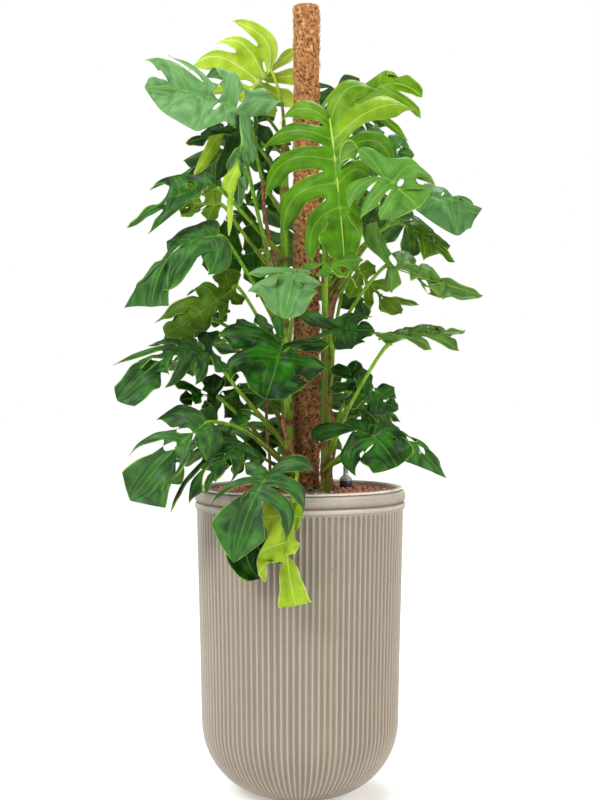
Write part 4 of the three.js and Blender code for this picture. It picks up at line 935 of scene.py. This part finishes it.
class Blade:
    """A leaf's blade as an open sheet. Rows of faces run from the midrib to the lobe tips, and
    columns across each lobe, from the edge it shares with the lobe before, over its vein, to its
    other edge. The end lobe has a half on either side. looks holds what each point looks like."""

    def __init__(self, leaf, rows):
        self.leaf, self.rows = leaf, rows
        self.skin, self.looks = Skin(), []
        self.reach = [1 - (1 - row / rows) ** 1.25 for row in range(rows + 1)]
        self.spine = []
        for step in range(leaf.count * COLUMNS + 1):
            k, part = divmod(step, COLUMNS)
            low, high = leaf.bounds[k], leaf.bounds[min(k + 1, leaf.count)]
            self.spine.append(self.on_midrib(low + (high - low) * part / COLUMNS))
        self.end_spine = [self.spine[-1]]
        for r in self.reach[1:]:
            self.end_spine.append(self.on_midrib(leaf.last + (1 - leaf.last) * r))
        for side in SIDES:
            start = leaf.curves[side][0]
            over = leaf.edge(side, 0, 0.2, 1) - start.point(0.2)
            self.facing = 1 if start.tangent(0.2).cross(over).dot(leaf.normal) > 0 else -1
            edge = [None] * rows
            for k in range(leaf.count + 1):
                edge = self.lobe(side, k, edge)

    def put(self, point, vein, youth=0.0):
        """Adds a point, moved by the blade's own ripples: up to 4 mm by slow ones, 60 mm apart, and
        up to 1.6 mm by quick ones, 20 mm apart."""
        leaf = self.leaf
        ripple = noise.noise(point * 16 + Vector((leaf.seed, 0, 0))) * 4 * MM
        ripple += noise.noise(point * 48 + Vector((leaf.seed, 9, 0))) * 1.6 * MM
        light, blue, young = leaf.look
        self.looks.append((light, blue, max(young, youth)))
        return self.skin.add(point + leaf.normal * ripple, vein)

    def on_midrib(self, s):
        """Adds a point of the midrib, s of the way along it."""
        return self.put(self.leaf.midrib.point(s), (0, 0, INLAND))

    def upward(self, side, k, r):
        """The way up from lobe k."""
        leaf = self.leaf
        if k == leaf.count:
            _, over, tangent = leaf.across_end(side, r)
        else:
            tangent = leaf.curves[side][k].tangent(r)
            clear = max(r, 0.02)  # at the midrib the edge and the vein meet
            over = leaf.edge(side, k, clear, 1) - leaf.curves[side][k].point(clear)
        return tangent.cross(over).normalized() * self.facing

    def lift(self, side, k, r, towards, u, wide):
        """How far a point stands off its vein, when it is u of the way to an edge that far away."""
        # the midrib lies in a valley, and a vein in a groove that fades at both ends
        valley = VALLEY * (1 - math.exp(-r * 9))
        body = smooth(0, 0.14, r) * (1 - smooth(0.8, 1, r))
        groove = CREASE * (1 - (1 - u) ** 4) * body
        # joined lobes swell up to their shared edge, and a free one only between vein and edge
        joined = (1 - math.cos(math.pi * u)) / 2
        alone = 0.4 * math.sin(math.pi * u)
        cut = self.leaf.cut(side, gap_number(k, towards))
        free = 1.0 if k == 0 and towards < 0 else smooth(cut - 0.12, cut + 0.16, r)
        rise = PILLOW * body * (joined * (1 - free) + alone * free)
        # a free edge hangs down in frills
        frill = 1 + 0.45 * math.sin(11 * r + 2.3 * (k + (towards > 0)) + self.leaf.seed)
        hang = DROOP * wide * free * u ** 2 * frill * (0.35 + 0.65 * smooth(0, 0.4, r))
        return valley + groove + rise - hang * (1 - 0.6 * smooth(0.85, 1, r))

    def rim(self, side, k, r, towards):
        """A point of a lobe's edge as it lies flat, and how far it is lifted from there."""
        flat = self.leaf.edge(side, k, r, towards)
        wide = (flat - self.leaf.vein(side, k, r)).length
        return flat, self.upward(side, k, r) * self.lift(side, k, r, towards, 1, wide)

    def lobe(self, side, k, base):
        """Adds one lobe. base is its edge towards the lobe before, as far as the two share it, and
        the edge that it shares with the next one is returned. An edge is a list of points, each
        with its place as it lies flat."""
        leaf, skin, rows = self.leaf, self.skin, self.rows
        is_end = k == leaf.count
        youth = leaf.plan.get("youth", {}).get((side, k), 0.0)
        if is_end:
            tip = self.end_spine[-1]
        else:
            # smoothing draws a free tip back, so it starts a little further out
            over = 3 * MM if leaf.cut(side, k) < JOINED else 0
            point = leaf.tips[side][k] + leaf.curves[side][k].tangent(1) * over
            tip = self.put(point + self.upward(side, k, 0.98) * VALLEY, (0, 1, 0), youth)
        if is_end or min(leaf.cut(side, k - 1), leaf.cut(side, k)) < JOINED:
            skin.sharp.add(tip)
        apex, shared = [None] * rows, [None] * rows
        for row in range(1, rows):
            if base[row] is None:
                flat, lift = self.rim(side, k, self.reach[row], -1)
                vein = (OFF_VEIN, self.reach[row] * leaf.length, 0)
                base[row] = self.put(flat + lift, vein, youth), flat
        if is_end and not 0 <= leaf.square <= 0.5:
            corner = end_corner(leaf.square)
            nearest = min(range(1, rows), key=lambda row: abs(self.reach[row] - corner))
            skin.sharp.add(base[nearest][0])
        for row in range(1, 1 if is_end else rows):
            r = self.reach[row]
            flat, lift = self.rim(side, k, r, 1)
            is_joined = leaf.gap(side, k, r) == 0
            if is_joined:
                other, other_lift = self.rim(side, k + 1, r, -1)
                flat, lift = (flat + other) / 2, (lift + other_lift) / 2
            vein = (OFF_VEIN, r * leaf.length, INLAND if is_joined else 0)
            apex[row] = self.put(flat + lift, vein, youth), flat
            shared[row] = apex[row] if is_joined else None
        columns = HALF_COLUMNS if is_end else COLUMNS
        foot = self.spine[k * COLUMNS:(k + 1) * COLUMNS + 1]
        grid = [foot * (columns + 1) if is_end else foot]
        for row in range(1, rows):
            line = [base[row][0]]
            for column in range(1, columns):
                u = column / HALF_COLUMNS - 1
                edge = (base if u < 0 else apex)[row][1]
                line.append(self.inside(side, k, self.reach[row], u, edge, youth))
            line.append(self.end_spine[row] if is_end else apex[row][0])
            grid.append(line)
        grid.append([tip] * (columns + 1))
        for low, high in zip(grid, grid[1:]):
            for j in range(columns):
                corners = [low[j], high[j], high[j + 1], low[j + 1]]
                skin.face(corners if side == "one" else corners[::-1])
        return shared

    def inside(self, side, k, r, u, edge, youth):
        """Adds a point of a lobe, with u from 0 at its vein to -1 or 1 at an edge."""
        leaf = self.leaf
        towards = -1 if u < 0 else 1
        inner = leaf.vein(side, k, r)
        wide = (edge - inner).length
        lift = self.upward(side, k, r) * self.lift(side, k, r, towards, abs(u), wide)
        is_free = k + towards < 0 or leaf.gap(side, gap_number(k, towards), r) > 0
        to_edge = (1 - abs(u)) * wide if is_free and u else INLAND
        vein = (abs(u) * wide, r * leaf.length, min(to_edge, (1 - r) * leaf.length))
        return self.put(inner + (edge - inner) * abs(u) + lift, vein, youth)


def leaf_piece(plan, materials, draw):
    """Makes a leaf: its blade, with an upper and an under skin, and its midrib."""
    leaf = Leaf(plan, draw.uniform(0, 50))
    leaf.pierce(draw)
    blade = Blade(leaf, FEW_ROWS if leaf.length < SMALL_LEAF or "lobes" in plan else ROWS)
    name = "leaf_" + plan["name"]
    made = blade.skin.piece(name, materials, "vein")
    keep(made.data, "look", blade.looks)
    if sum(p.normal.dot(leaf.normal) * p.area for p in made.data.polygons) < 0:
        made.data.flip_normals()
    modify(made, "SUBSURF", levels=1, render_levels=1)
    modify(made, "SOLIDIFY", thickness=BLADE, offset=0, material_offset=1, material_offset_rim=2)
    ribs = Skin()
    thick = min(1, leaf.length / (260 * MM)) * plan.get("rib", 0.8)
    parts = [i / RIB_STEPS for i in range(RIB_STEPS + 1)]
    radii = [thick * (RIB_FOOT + (RIB_TIP - RIB_FOOT) * t) for t in parts]
    line = [leaf.midrib.point(t * 0.97) + leaf.normal * (0.1 * r) for t, r in zip(parts, radii)]
    ribs.tube(line, radii, 6, 0, [leaf.look] * len(line))
    rib = ribs.piece(name + "_ribs", [materials[2]], "look")
    only(made)
    rib.select_set(True)
    bpy.ops.object.join()
    settle(made, "leaf", "leafy_stem_" + plan["stem"])


# Stems


def stem_line(stem):
    """A stem's axis: upright in the filling, and leaning from there to its top."""
    foot, top, height = stem["foot"], stem["top"], stem["height"]
    middle = [(a + b) / 2 for a, b in zip(foot, top)]
    half = STEM_SOIL + (height - STEM_SOIL) / 2
    points = [(*foot, STEM_FOOT), (*foot, STEM_SOIL), (*middle, half), (*top, height)]
    return through([Vector(p) * MM for p in points], 40)


def grow_stem(skin, stem, line, nodes):
    """A stem swells and turns brown at its nodes, and thins over its last 40 mm."""
    radii, ages = [], []
    for point in line:
        near = min(abs(point.z - node) for node in nodes)
        taper = smooth(0, 40 * MM, stem["height"] * MM - point.z)
        radius = stem["girth"] * MM + 1.6 * MM * hump(near, 7 * MM)
        radii.append(radius * (0.35 + 0.65 * taper))
        age = stem["age"] + 0.75 * hump(near, 6 * MM) - 0.2 * smooth(0.7, 1.2, point.z)
        ages.append((age, 0, 0))
    skin.tube(line, radii, 14, 0, ages)


def grow_stalk(skin, plan, line):
    """A leaf's stalk leaves the stem in a sheath and has a knee before it joins the blade."""
    leaf = Leaf(plan)
    root = min(line, key=lambda point: abs(point.z - plan["root"] * MM))
    reach = (leaf.at - root).length
    if "way" in plan:
        way = seen(plan["way"])
    else:
        way = (root + leaf.at) / 2 + Vector((0, 0, 0.14 * reach))
    # it meets the blade just under its base and ends below the midrib's first 10 mm
    joint = leaf.at - leaf.normal * 1 * MM
    heel = leaf.at + leaf.midrib.tangent(0) * 10 * MM - leaf.normal * 1.5 * MM
    path = through([root, way, joint, heel], 14)
    size = min(1.15, 0.75 + reach * 1.2)  # a longer stalk is thicker
    radii, ages = [], []
    for i in range(len(path)):
        t = i / (len(path) - 1)
        sheath = 2.6 * (1 - smooth(0.02, 0.3, t))
        knee = 0.9 * hump(t - 0.66, 0.05)
        radii.append(MM * size * (3.9 - 0.7 * t + sheath + knee))
        youth = 0.9 * leaf.look[2] * smooth(0.2, 0.7, t)
        ages.append((0.45 * (1 - smooth(0, 0.3, t)), youth, 0))
    radii[-1] = 1 * MM
    skin.tube(path, radii, 9, 0, ages, 0.9)
    # the sheath's dry brown edge lies along the front of the stalk's lower third
    lower = range(1, len(path) // 3)
    edge = [path[i] + Vector((0, -0.85 * radii[i], 0)) for i in lower]
    skin.tube(edge, [1.5 * MM] * len(edge), 5, 1)


def grow_root(skin, root):
    """An aerial root, uneven along its length and thin at its tip."""
    path = through([seen(point) for point in root["path"]], 8)
    radii = [root["radius"] * MM * (1 + 0.15 * noise.noise(point * 60)) for point in path]
    radii[-1] *= 0.4
    skin.tube(path, radii, 9, 1)


# Settings


class PlanterSettings(bpy.types.PropertyGroup):
    ribs: IntProperty(name="Ribs", description="Ribs round the wall", default=104, min=12)
    rib_depth: FloatProperty(
        name="Rib depth", description="How deep the flutes are", default=3.4 * MM, unit="LENGTH",
        precision=4)
    ridge_colour: FloatVectorProperty(
        name="Ridges", description="Colour of the rubbed ridges", subtype="COLOR", size=4,
        default=linear("#AFA79B"))


class GranuleSettings(bpy.types.PropertyGroup):
    size: FloatProperty(
        name="Granule", description="Across one granule", default=7.4 * MM, unit="LENGTH", precision=4)
    seed: IntProperty(name="Seed", description="Which scatter of granules", default=11)


class PoleSettings(bpy.types.PropertyGroup):
    fibres: IntProperty(name="Fibres", description="Loose fibres on the sleeve", default=2600, min=0)


class LeafSettings(bpy.types.PropertyGroup):
    seed: IntProperty(name="Seed", description="Which waves and holes the leaves have", default=7)
    gloss: FloatProperty(
        name="Roughness", description="How dull the leaf skin is", default=0.38, subtype="FACTOR",
        min=0, max=1)


class StageSettings(bpy.types.PropertyGroup):
    light: FloatProperty(name="Light", description="Strength of the studio lights", default=1.0, min=0)


# Pieces


def dress(node, material):
    """Gives a CAD node one material of its own."""
    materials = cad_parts[node].data.materials
    materials.clear()
    materials.append(material)


class PLANT_OT_planter(bpy.types.Operator):
    """Spins the planter's wall, rim and hollow, and presses the flutes into it"""

    bl_idname = "plant.planter"
    bl_label = "Planter"

    def execute(self, context):
        settings = context.scene.plant_planter
        material = fibre_clay("fibre_clay", settings.ridge_colour, "#867B6D", "#9A8B74", "#E8E3D9")
        # (radius, height, how deep the flutes are here); the rounded bottom is an arc
        outer = [(0, 0, 0), (60, 0, 0), (76, 0, 0.3)]
        arc, centre, level = 150, 46, 147
        start = math.asin(-level / arc)
        for i in range(1, 13):
            angle = start * (1 - i / 12)
            outer.append((centre + arc * math.cos(angle), level + arc * math.sin(angle), 1))
        outer += [(199, 290, 1), (202.5, 430, 1), (205.6, 556, 1), (205.8, 565, 1), (206, 567.4, 0.6),
                  (206, 568.2, 0)]
        # (radius, height, how pale it is: rubbed, and painted highlight on the tops of bead, roll and lip,
        # painted shade in the grooves, and painted light on the inner wall, which lies in shade)
        rim = [(206.1, 568.6, 0), (208.4, 569.4, 0.2), (209.7, 571, 0.6), (210, 574, 1.1), (209.6, 577, 1.3),
               (208.2, 579, 1.2), (205.4, 580.4, 0.2), (204.8, 581.4, 0), (205.6, 582.4, 0.2),
               (208.6, 584.4, 0.3), (209.8, 587.5, 0.5), (210, 592, 0.75), (209.6, 597, 1),
               (208, 601, 1.25), (205.6, 603.4, 1.2), (202.6, 604.2, 0.1), (202.2, 605, 0),
               (203, 605.6, 0.9), (203.5, 606.8, 1.5), (203.2, 608.6, 1.7), (201.6, 609.8, 1.8),
               (199, 610, 1.8), (195, 609.8, 1.7), (192.4, 608.4, 1.5), (190.8, 605, 1.3),
               (190, 590, 1.5), (190, 540, 1.3), (180, 150, 0.6), (160, 86, 0.5), (118, 42, 0.5),
               (62, 16, 0.5), (0, 16, 0.5)]
        profile = [(r, z) for r, z, _ in outer + rim]
        made = turned("planter_shell", profile, settings.ribs * FLUTE_STEPS, material)
        depth = {round(z, 2): share for r, z, share in outer}
        rubbed_and_lit = {(round(r, 1), round(z, 1)): pale for r, z, pale in rim}
        heights = []
        for vertex in made.data.vertices:
            x, y, z = vertex.co
            radius = math.hypot(x, y)
            pale = rubbed_and_lit.get((round(radius / MM, 1), round(z / MM, 1)))
            if pale is None:
                share = depth.get(round(z / MM, 2), 0)
                turn = (math.atan2(y, x) / FULL_TURN * settings.ribs) % 1
                hollow = share * abs(math.sin(math.pi * turn)) ** 0.8
                if radius > 1 * MM:
                    cut = 1 - hollow * settings.rib_depth / radius
                    vertex.co.x *= cut
                    vertex.co.y *= cut
                pale = 1.1 - 1.05 * hollow
            heights.append((pale, 0, 0))
        keep(made.data, "height", heights)
        settle(made, "planter_body", "planter")
        return {"FINISHED"}


class PLANT_OT_granules(bpy.types.Operator):
    """Scatters clay granules over the filling, each a lump of its own size and tint"""

    bl_idname = "plant.granules"
    bl_label = "Clay granules"

    def execute(self, context):
        settings = context.scene.plant_granules
        # the third colour is the painted shade on each granule's underside
        material = fired_clay("expanded_clay", "#AC5446", "#F2A68C", "#4A1C16", "#FFE0D0")
        # Fired clay between the granules, painted dark as the shade there: dark red-brown, dull and uneven
        for node in ("granule_bed", "granule_cover"):
            dress(node, speckled(node + "_clay", "#351A16", "#5E3028", 9 * MM, 0.9, 1 * MM))
        # the lump is modelled once, and its copies are joined as they are scattered
        bpy.ops.mesh.primitive_uv_sphere_add(segments=8, ring_count=5, radius=0.5)
        lump = context.active_object
        shape = [v.co.copy() for v in lump.data.vertices]
        faces = [tuple(p.vertices) for p in lump.data.polygons]
        bpy.data.objects.remove(lump)
        draw = random.Random(settings.seed)
        # (place, radius) of what stands in the granules
        blocked = [(Vector((*stem["foot"], 0)) * MM, 10 * MM) for stem in STEMS.values()]
        blocked += [(POLE, 27 * MM), (GAUGE, 13 * MM)]
        skin = Skin()
        pitch = settings.size
        jitter = 0.28 * pitch
        row_step = pitch * 0.86
        reach = OPENING_RADIUS - 0.4 * settings.size
        rows = int(reach / row_step)
        for row in range(-rows, rows + 1):
            for column in range(-rows - 4, rows + 5):
                x = (column + 0.5 * (row % 2)) * pitch + draw.uniform(-1, 1) * jitter
                y = row * row_step + draw.uniform(-1, 1) * jitter
                size = settings.size * draw.uniform(0.72, 1.02)
                place = Vector((x, y, 0))
                if place.length > reach - size * 0.3:
                    continue
                if any((place - spot).length < wide + size * 0.3 for spot, wide in blocked):
                    continue
                place.z = GRANULE_TOP + draw.uniform(-3, 2.6) * MM
                shift = Vector((draw.uniform(0, 90), 0, 0))
                tint = draw.random()
                squash = Vector((draw.uniform(0.88, 1.1), draw.uniform(0.88, 1.1), 0.95))
                first = len(skin.points)
                for corner in shape:
                    lumpy = corner * (1 + 0.3 * noise.noise(corner * 2.2 + shift))
                    skin.add(lumpy * squash * size + place, (tint, corner.z, 0))
                for face in faces:
                    skin.face([first + i for i in face])
        settle(skin.piece("clay_granules", [material], "tint"), "clay_granules")
        return {"FINISHED"}


class PLANT_OT_pole(bpy.types.Operator):
    """Spins the coir sleeve, mats its surface and lays loose fibres on it"""

    bl_idname = "plant.pole"
    bl_label = "Coir pole"

    def execute(self, context):
        # the last colour is the painted shade on the lower pole
        coir = matted_fibre("coconut_fibre", "#6E4024", "#CC925C", "#FAC894", "#3A2010")
        low, high = POLE_FOOT / MM, POLE_TOP / MM
        rows = 420  # 2.7 mm apart, to carry the lumps
        core = 12
        radius = POLE_RADIUS / MM - 1.5
        profile = [(core, low), (radius, low)]
        profile += [(radius, low + (high - low) * i / rows) for i in range(1, rows)]
        profile += [(radius - 2, high), (core, high), (core, low)]
        made = turned("coir_sleeve", profile, 80, coir, POLE)
        heights = []
        for vertex in made.data.vertices:
            across = Vector((vertex.co.x - POLE.x, vertex.co.y - POLE.y, 0))
            lumps = 0
            if across.length > 15 * MM:
                spot = vertex.co / MM
                turn = math.atan2(across.y, across.x) * POLE_RADIUS / MM
                lumps = noise.noise(Vector((turn / 9, spot.z / 6, 3))) * 1.5
                tangle = noise.noise(Vector((turn / 5 + spot.z / 14, spot.z / 9, 8)))
                lumps += 1.2 * (0.5 - 3 * abs(tangle))
                lumps += noise.noise(spot / 2.4) * 0.8
                vertex.co += across.normalized() * ((lumps - 0.7) * MM)
            heights.append((lumps, 0, 0))
        keep(made.data, "height", heights)
        settle(made, "coir", "coir_pole")
        draw = random.Random(23)
        fibres = Skin()
        for _ in range(context.scene.plant_pole.fibres):
            angle, z = draw.uniform(0, FULL_TURN), draw.uniform(FIBRE_LOW, FIBRE_HIGH)
            lean, length = draw.uniform(-1.4, 1.4), draw.uniform(8, 28) * MM
            lift = draw.choice((0.2, 0.6, 1.2, 2.4)) * MM
            line = []
            for i in range(4):
                t = i / 3 - 0.5
                turn = angle + t * length * math.cos(lean) / POLE_RADIUS
                rise = z + t * length * math.sin(lean)
                away = POLE_RADIUS - 1.4 * MM + lift * (1 - 4 * t * t) + draw.uniform(0, 0.5) * MM
                line.append(POLE + Vector((away * math.cos(turn), away * math.sin(turn), rise)))
            fibres.tube(line, [0.25 * MM, 0.5 * MM, 0.45 * MM, 0.2 * MM], 3)
        # Coconut fibre, loose: straw to brown, dull
        hair = speckled("loose_coir_fibre", "#A86E40", "#EEBC88", 12 * MM, 0.8, 0.1 * MM)
        settle(fibres.piece("coir_fibres", [hair], "tint"), "coir")
        return {"FINISHED"}


class PLANT_OT_gauge(bpy.types.Operator):
    """Turns the water gauge: a dark body, a clear cap with its neck, and the red float tip"""

    bl_idname = "plant.gauge"
    bl_label = "Water gauge"

    def execute(self, context):
        # ABS, moulded: dark violet grey with a soft shine and faint flow marks
        dark = speckled("moulded_abs", "#3A3340", "#554C5A", 14 * MM, 0.32, 0.05 * MM)
        # Clear polystyrene, moulded: a bright edge, faintly milky, with slow flow marks
        clear = speckled("clear_polystyrene", "#F2F2F8", "#FFFFFF", 9 * MM, 0.1, 0.05 * MM,
                         IOR=1.59, Transmission_Weight=0.6)
        red = float_red("red_polystyrene", "#C9C4BE", "#DE4E22", 621 * MM)
        body = [(0, 425), (12, 425), (13, 426), (13, 600), (12.4, 600.6), (12.4, 602), (13, 602.6),
                (13, 613), (12.4, 614), (10, 614), (10, 427), (0, 427)]
        cap = [(11, 614.4), (13, 614.4), (13, 616), (12.2, 619), (10, 621.6), (7.4, 623.6),
               (5.6, 626), (5, 629), (5, 660), (4.6, 663.4), (3, 665), (0, 665), (0, 663.8),
               (2.6, 663.6), (3.8, 661), (3.8, 628.6), (4.6, 625.2), (6.6, 622.6), (9.4, 620.4),
               (11, 617.6), (11, 614.4)]
        tip = [(0, 427.4), (7.6, 427.4), (8, 428), (8, 457), (7.4, 458), (1.6, 463), (1.6, 621),
               (2.6, 622.2), (3, 624), (2.6, 625.8), (1.4, 626.8), (0, 627)]
        for name, profile, material, slot, node in (
            ("gauge_body", body, dark, "gauge_body", "gauge_tube"),
            ("gauge_clear_cap", cap, clear, "gauge_clear", "gauge_cap"),
            ("gauge_red_float", tip, red, "gauge_float", "gauge_float"),
        ):
            settle(turned(name, profile, 40, material, GAUGE), slot, node)
        return {"FINISHED"}


class PLANT_OT_tie(bpy.types.Operator):
    """Bends the green wire round the pole and stems, and twists its two loose ends"""

    bl_idname = "plant.tie"
    bl_label = "Wire tie"

    def execute(self, context):
        # PVC coat on soft wire: dull mid green, scuffed paler in places
        coat = speckled("pvc_coated_wire", "#257A4E", "#4FA276", 8 * MM, 0.45, 0.1 * MM)
        skin = Skin()
        ring = []
        for i in range(49):
            angle = FULL_TURN * i / 48 - math.pi / 2
            sway = 1.2 * MM * math.sin(3 * angle)
            ring.append(POLE + Vector((TIE_RADIUS * math.cos(angle), TIE_RADIUS * math.sin(angle),
                                       TIE_HEIGHT + sway)))
        skin.tube(ring, [1.3 * MM] * len(ring), 6)
        ends = (
            [(0, 0, 0), (-8, -5, 4), (-24, -8, 2), (-42, -8, -4)],
            [(0, 0, 0), (8, -4, 6), (18, -6, 2), (30, -8, 9)],
            [(-3, -1.6, -2), (0, -2.6, 1), (3, -1.6, 4), (5, 0, 7)],
        )
        for end in ends:
            line = through([ring[0] + Vector(p) * MM for p in end], 6)
            skin.tube(line, [1.2 * MM] * len(line), 6)
        settle(skin.piece("wire_tie", [coat], "tint"), "tie", "plant_tie")
        return {"FINISHED"}


class PLANT_OT_leaves(bpy.types.Operator):
    """Lays out every leaf blade with its lobes, holes, midrib and veins"""

    bl_idname = "plant.leaves"
    bl_label = "Leaves"

    def execute(self, context):
        settings = context.scene.plant_leaves
        # the third colour of each skin, its blue green, is partly the wax's own and partly painted sheen
        upper = living_leaf("leaf_upper_skin", "#062404", "#348A04", "#78A86C", "#84AC16",
                            "#B0CC34", "#A6C63C", settings.gloss, 0.03)
        # the under skin is paler and yellower than the upper one: partly its own colour and partly painted
        # light coming through the blade
        under = living_leaf("leaf_under_skin", "#1E4806", "#568C16", "#6C9E68", "#8EB420",
                            "#B0CC40", "#B4CC58", 0.5, 0.25)
        rib = vein_tissue("leaf_rib_tissue", "#4A8A20", "#C4DA4C")
        draw = random.Random(settings.seed)
        for plan in LEAVES + RULED_LEAVES:
            leaf_piece(plan, [upper, under, rib], draw)
        return {"FINISHED"}


class PLANT_OT_stems(bpy.types.Operator):
    """Grows the stems with their nodes, the leaf stalks with their sheaths, and the roots"""

    bl_idname = "plant.stems"
    bl_label = "Stems and stalks"

    def execute(self, context):
        stalk = green_stalk("green_stalk", "#457E16", "#86B22C", "#B4CC3C", "#6C462A")
        # Bark of roots and dry sheaths: corky and dull, in two browns
        bark = speckled("root_bark", "#5A3520", "#9A6A44", 6 * MM, 0.85, 0.8 * MM)
        for name, stem in STEMS.items():
            skin = Skin()
            line = stem_line(stem)
            plans = [plan for plan in LEAVES + RULED_LEAVES if plan["stem"] == name]
            grow_stem(skin, stem, line, [plan["root"] * MM for plan in plans])
            for plan in plans:
                grow_stalk(skin, plan, line)
            for root in AERIAL_ROOTS:
                if root["stem"] == name:
                    grow_root(skin, root)
            piece = skin.piece("stem_" + name, [stalk, bark], "vein")
            settle(piece, "stem", "leafy_stem_" + name)
        return {"FINISHED"}


class PLANT_OT_hidden(bpy.types.Operator):
    """Gives the pieces inside the planter their own finishes"""

    bl_idname = "plant.hidden"
    bl_label = "Inner pieces"

    def execute(self, context):
        # Polypropylene, moulded: black with a soft shine and a fine grain
        dress("grow_pot", speckled("black_polypropylene", "#16181A", "#202326", 2 * MM, 0.5, 0.1 * MM))
        # Roots matted together: dark and pale browns, rough and dull
        dress("root_ball", speckled("matted_roots", "#3E2C20", "#7A5A40", 4 * MM, 0.95, 2 * MM))
        # Softwood, sawn: pale, matt and slightly furred
        dress("pole_core", speckled("sawn_softwood", "#B08C58", "#CBAA78", 3 * MM, 0.8, 0.2 * MM))
        return {"FINISHED"}


class PLANT_OT_stage(bpy.types.Operator):
    """Sets the pale floor, the soft studio light and the camera"""

    bl_idname = "plant.stage"
    bl_label = "Studio"

    def execute(self, context):
        scene = context.scene
        strength = scene.plant_stage.light
        bpy.ops.object.select_all(action="DESELECT")
        bpy.ops.mesh.primitive_plane_add(size=40, location=(0, 0, -0.5 * MM))
        floor = context.active_object
        floor.name = "studio_floor"
        # Painted studio floor: matt and nearly white, with a roller's faint unevenness
        floor.data.materials.append(speckled(
            "studio_paint", "#F3F2F0", "#F7F6F4", 60 * MM, 0.9, 0.1 * MM,
            Emission_Color=linear("#FFFFFF"), Emission_Strength=0.34))
        world = bpy.data.worlds.new("studio_air")
        world.use_nodes = True
        air = world.node_tree
        path = add(air, "LightPath").outputs
        # the backdrop shows white, lights the plant less than half as much and hardly shines on it
        dim = add(air, "MapRange", {
            "Value": path["Is Glossy Ray"], "To Min": 0.4 * strength, "To Max": 0.06 * strength})
        shown = add(air, "MapRange", {"Value": path["Is Camera Ray"], "To Min": dim, "To Max": 1.0})
        feed(air.nodes["Background"], {"Color": linear("#FFFFFF"), "Strength": shown})
        scene.world = world
        for name, place, size, power, tint in (
            ("key", (-2.3, -2.1, 2.7), 1.0, 54, (1, 1, 1)),
            ("fill", (2.7, -1.6, 1.9), 1.2, 48, (1, 0.94, 0.84)),
            ("top", (0.5, 0.9, 3.2), 1.2, 36, (1, 1, 1)),
        ):
            bpy.ops.object.light_add(type="AREA", location=place)
            lamp = context.active_object
            lamp.name = "light_" + name
            lamp.data.size = size
            lamp.data.energy = power * strength
            lamp.data.color = tint
            aim = Vector((0, 0, 0.85)) - Vector(place)
            lamp.rotation_euler = aim.to_track_quat("-Z", "Y").to_euler()
        bpy.ops.object.light_add(type="SUN", rotation=(math.radians(34), 0, math.radians(-40)))
        sun = context.active_object
        sun.name = "light_sky"
        sun.data.energy = 1.6 * strength
        sun.data.angle = math.radians(30)
        bpy.ops.object.camera_add(location=EYE, rotation=(math.pi / 2, 0, 0))
        camera = context.active_object
        camera.name = "camera"
        camera.data.lens = 69.75
        camera.data.shift_y = -0.0425  # keeps upright lines upright, as in the photograph
        scene.camera = camera
        scene.view_settings.view_transform = "Standard"
        return {"FINISHED"}


class PLANT_PT_panel(bpy.types.Panel):
    bl_label = "Potted Plant"
    bl_idname = "PLANT_PT_panel"
    bl_space_type = "VIEW_3D"
    bl_region_type = "UI"
    bl_category = "Potted Plant"

    def draw(self, context):
        scene = context.scene
        for name in GROUPS:
            for key in getattr(scene, name).bl_rna.properties.keys():
                if key not in ("rna_type", "name"):
                    self.layout.prop(getattr(scene, name), key)
        for operator in OPERATORS:
            self.layout.operator(operator.bl_idname)


GROUPS = {
    "plant_planter": PlanterSettings,
    "plant_granules": GranuleSettings,
    "plant_pole": PoleSettings,
    "plant_leaves": LeafSettings,
    "plant_stage": StageSettings,
}
OPERATORS = (
    PLANT_OT_planter, PLANT_OT_granules, PLANT_OT_pole, PLANT_OT_gauge, PLANT_OT_tie,
    PLANT_OT_stems, PLANT_OT_leaves, PLANT_OT_hidden, PLANT_OT_stage,
)
CLASSES = (*GROUPS.values(), *OPERATORS, PLANT_PT_panel)


def register():
    for cls in CLASSES:
        bpy.utils.register_class(cls)
    for name, group in GROUPS.items():
        setattr(bpy.types.Scene, name, PointerProperty(type=group))


def unregister():
    for name in GROUPS:
        delattr(bpy.types.Scene, name)
    for cls in reversed(CLASSES):
        bpy.utils.unregister_class(cls)


def main():
    register()
    bpy.ops.plant.planter()
    bpy.ops.plant.granules()
    bpy.ops.plant.pole()
    bpy.ops.plant.gauge()
    bpy.ops.plant.tie()
    bpy.ops.plant.stems()
    bpy.ops.plant.leaves()
    bpy.ops.plant.hidden()
    bpy.ops.plant.stage()


if __name__ == "__main__":
    main()
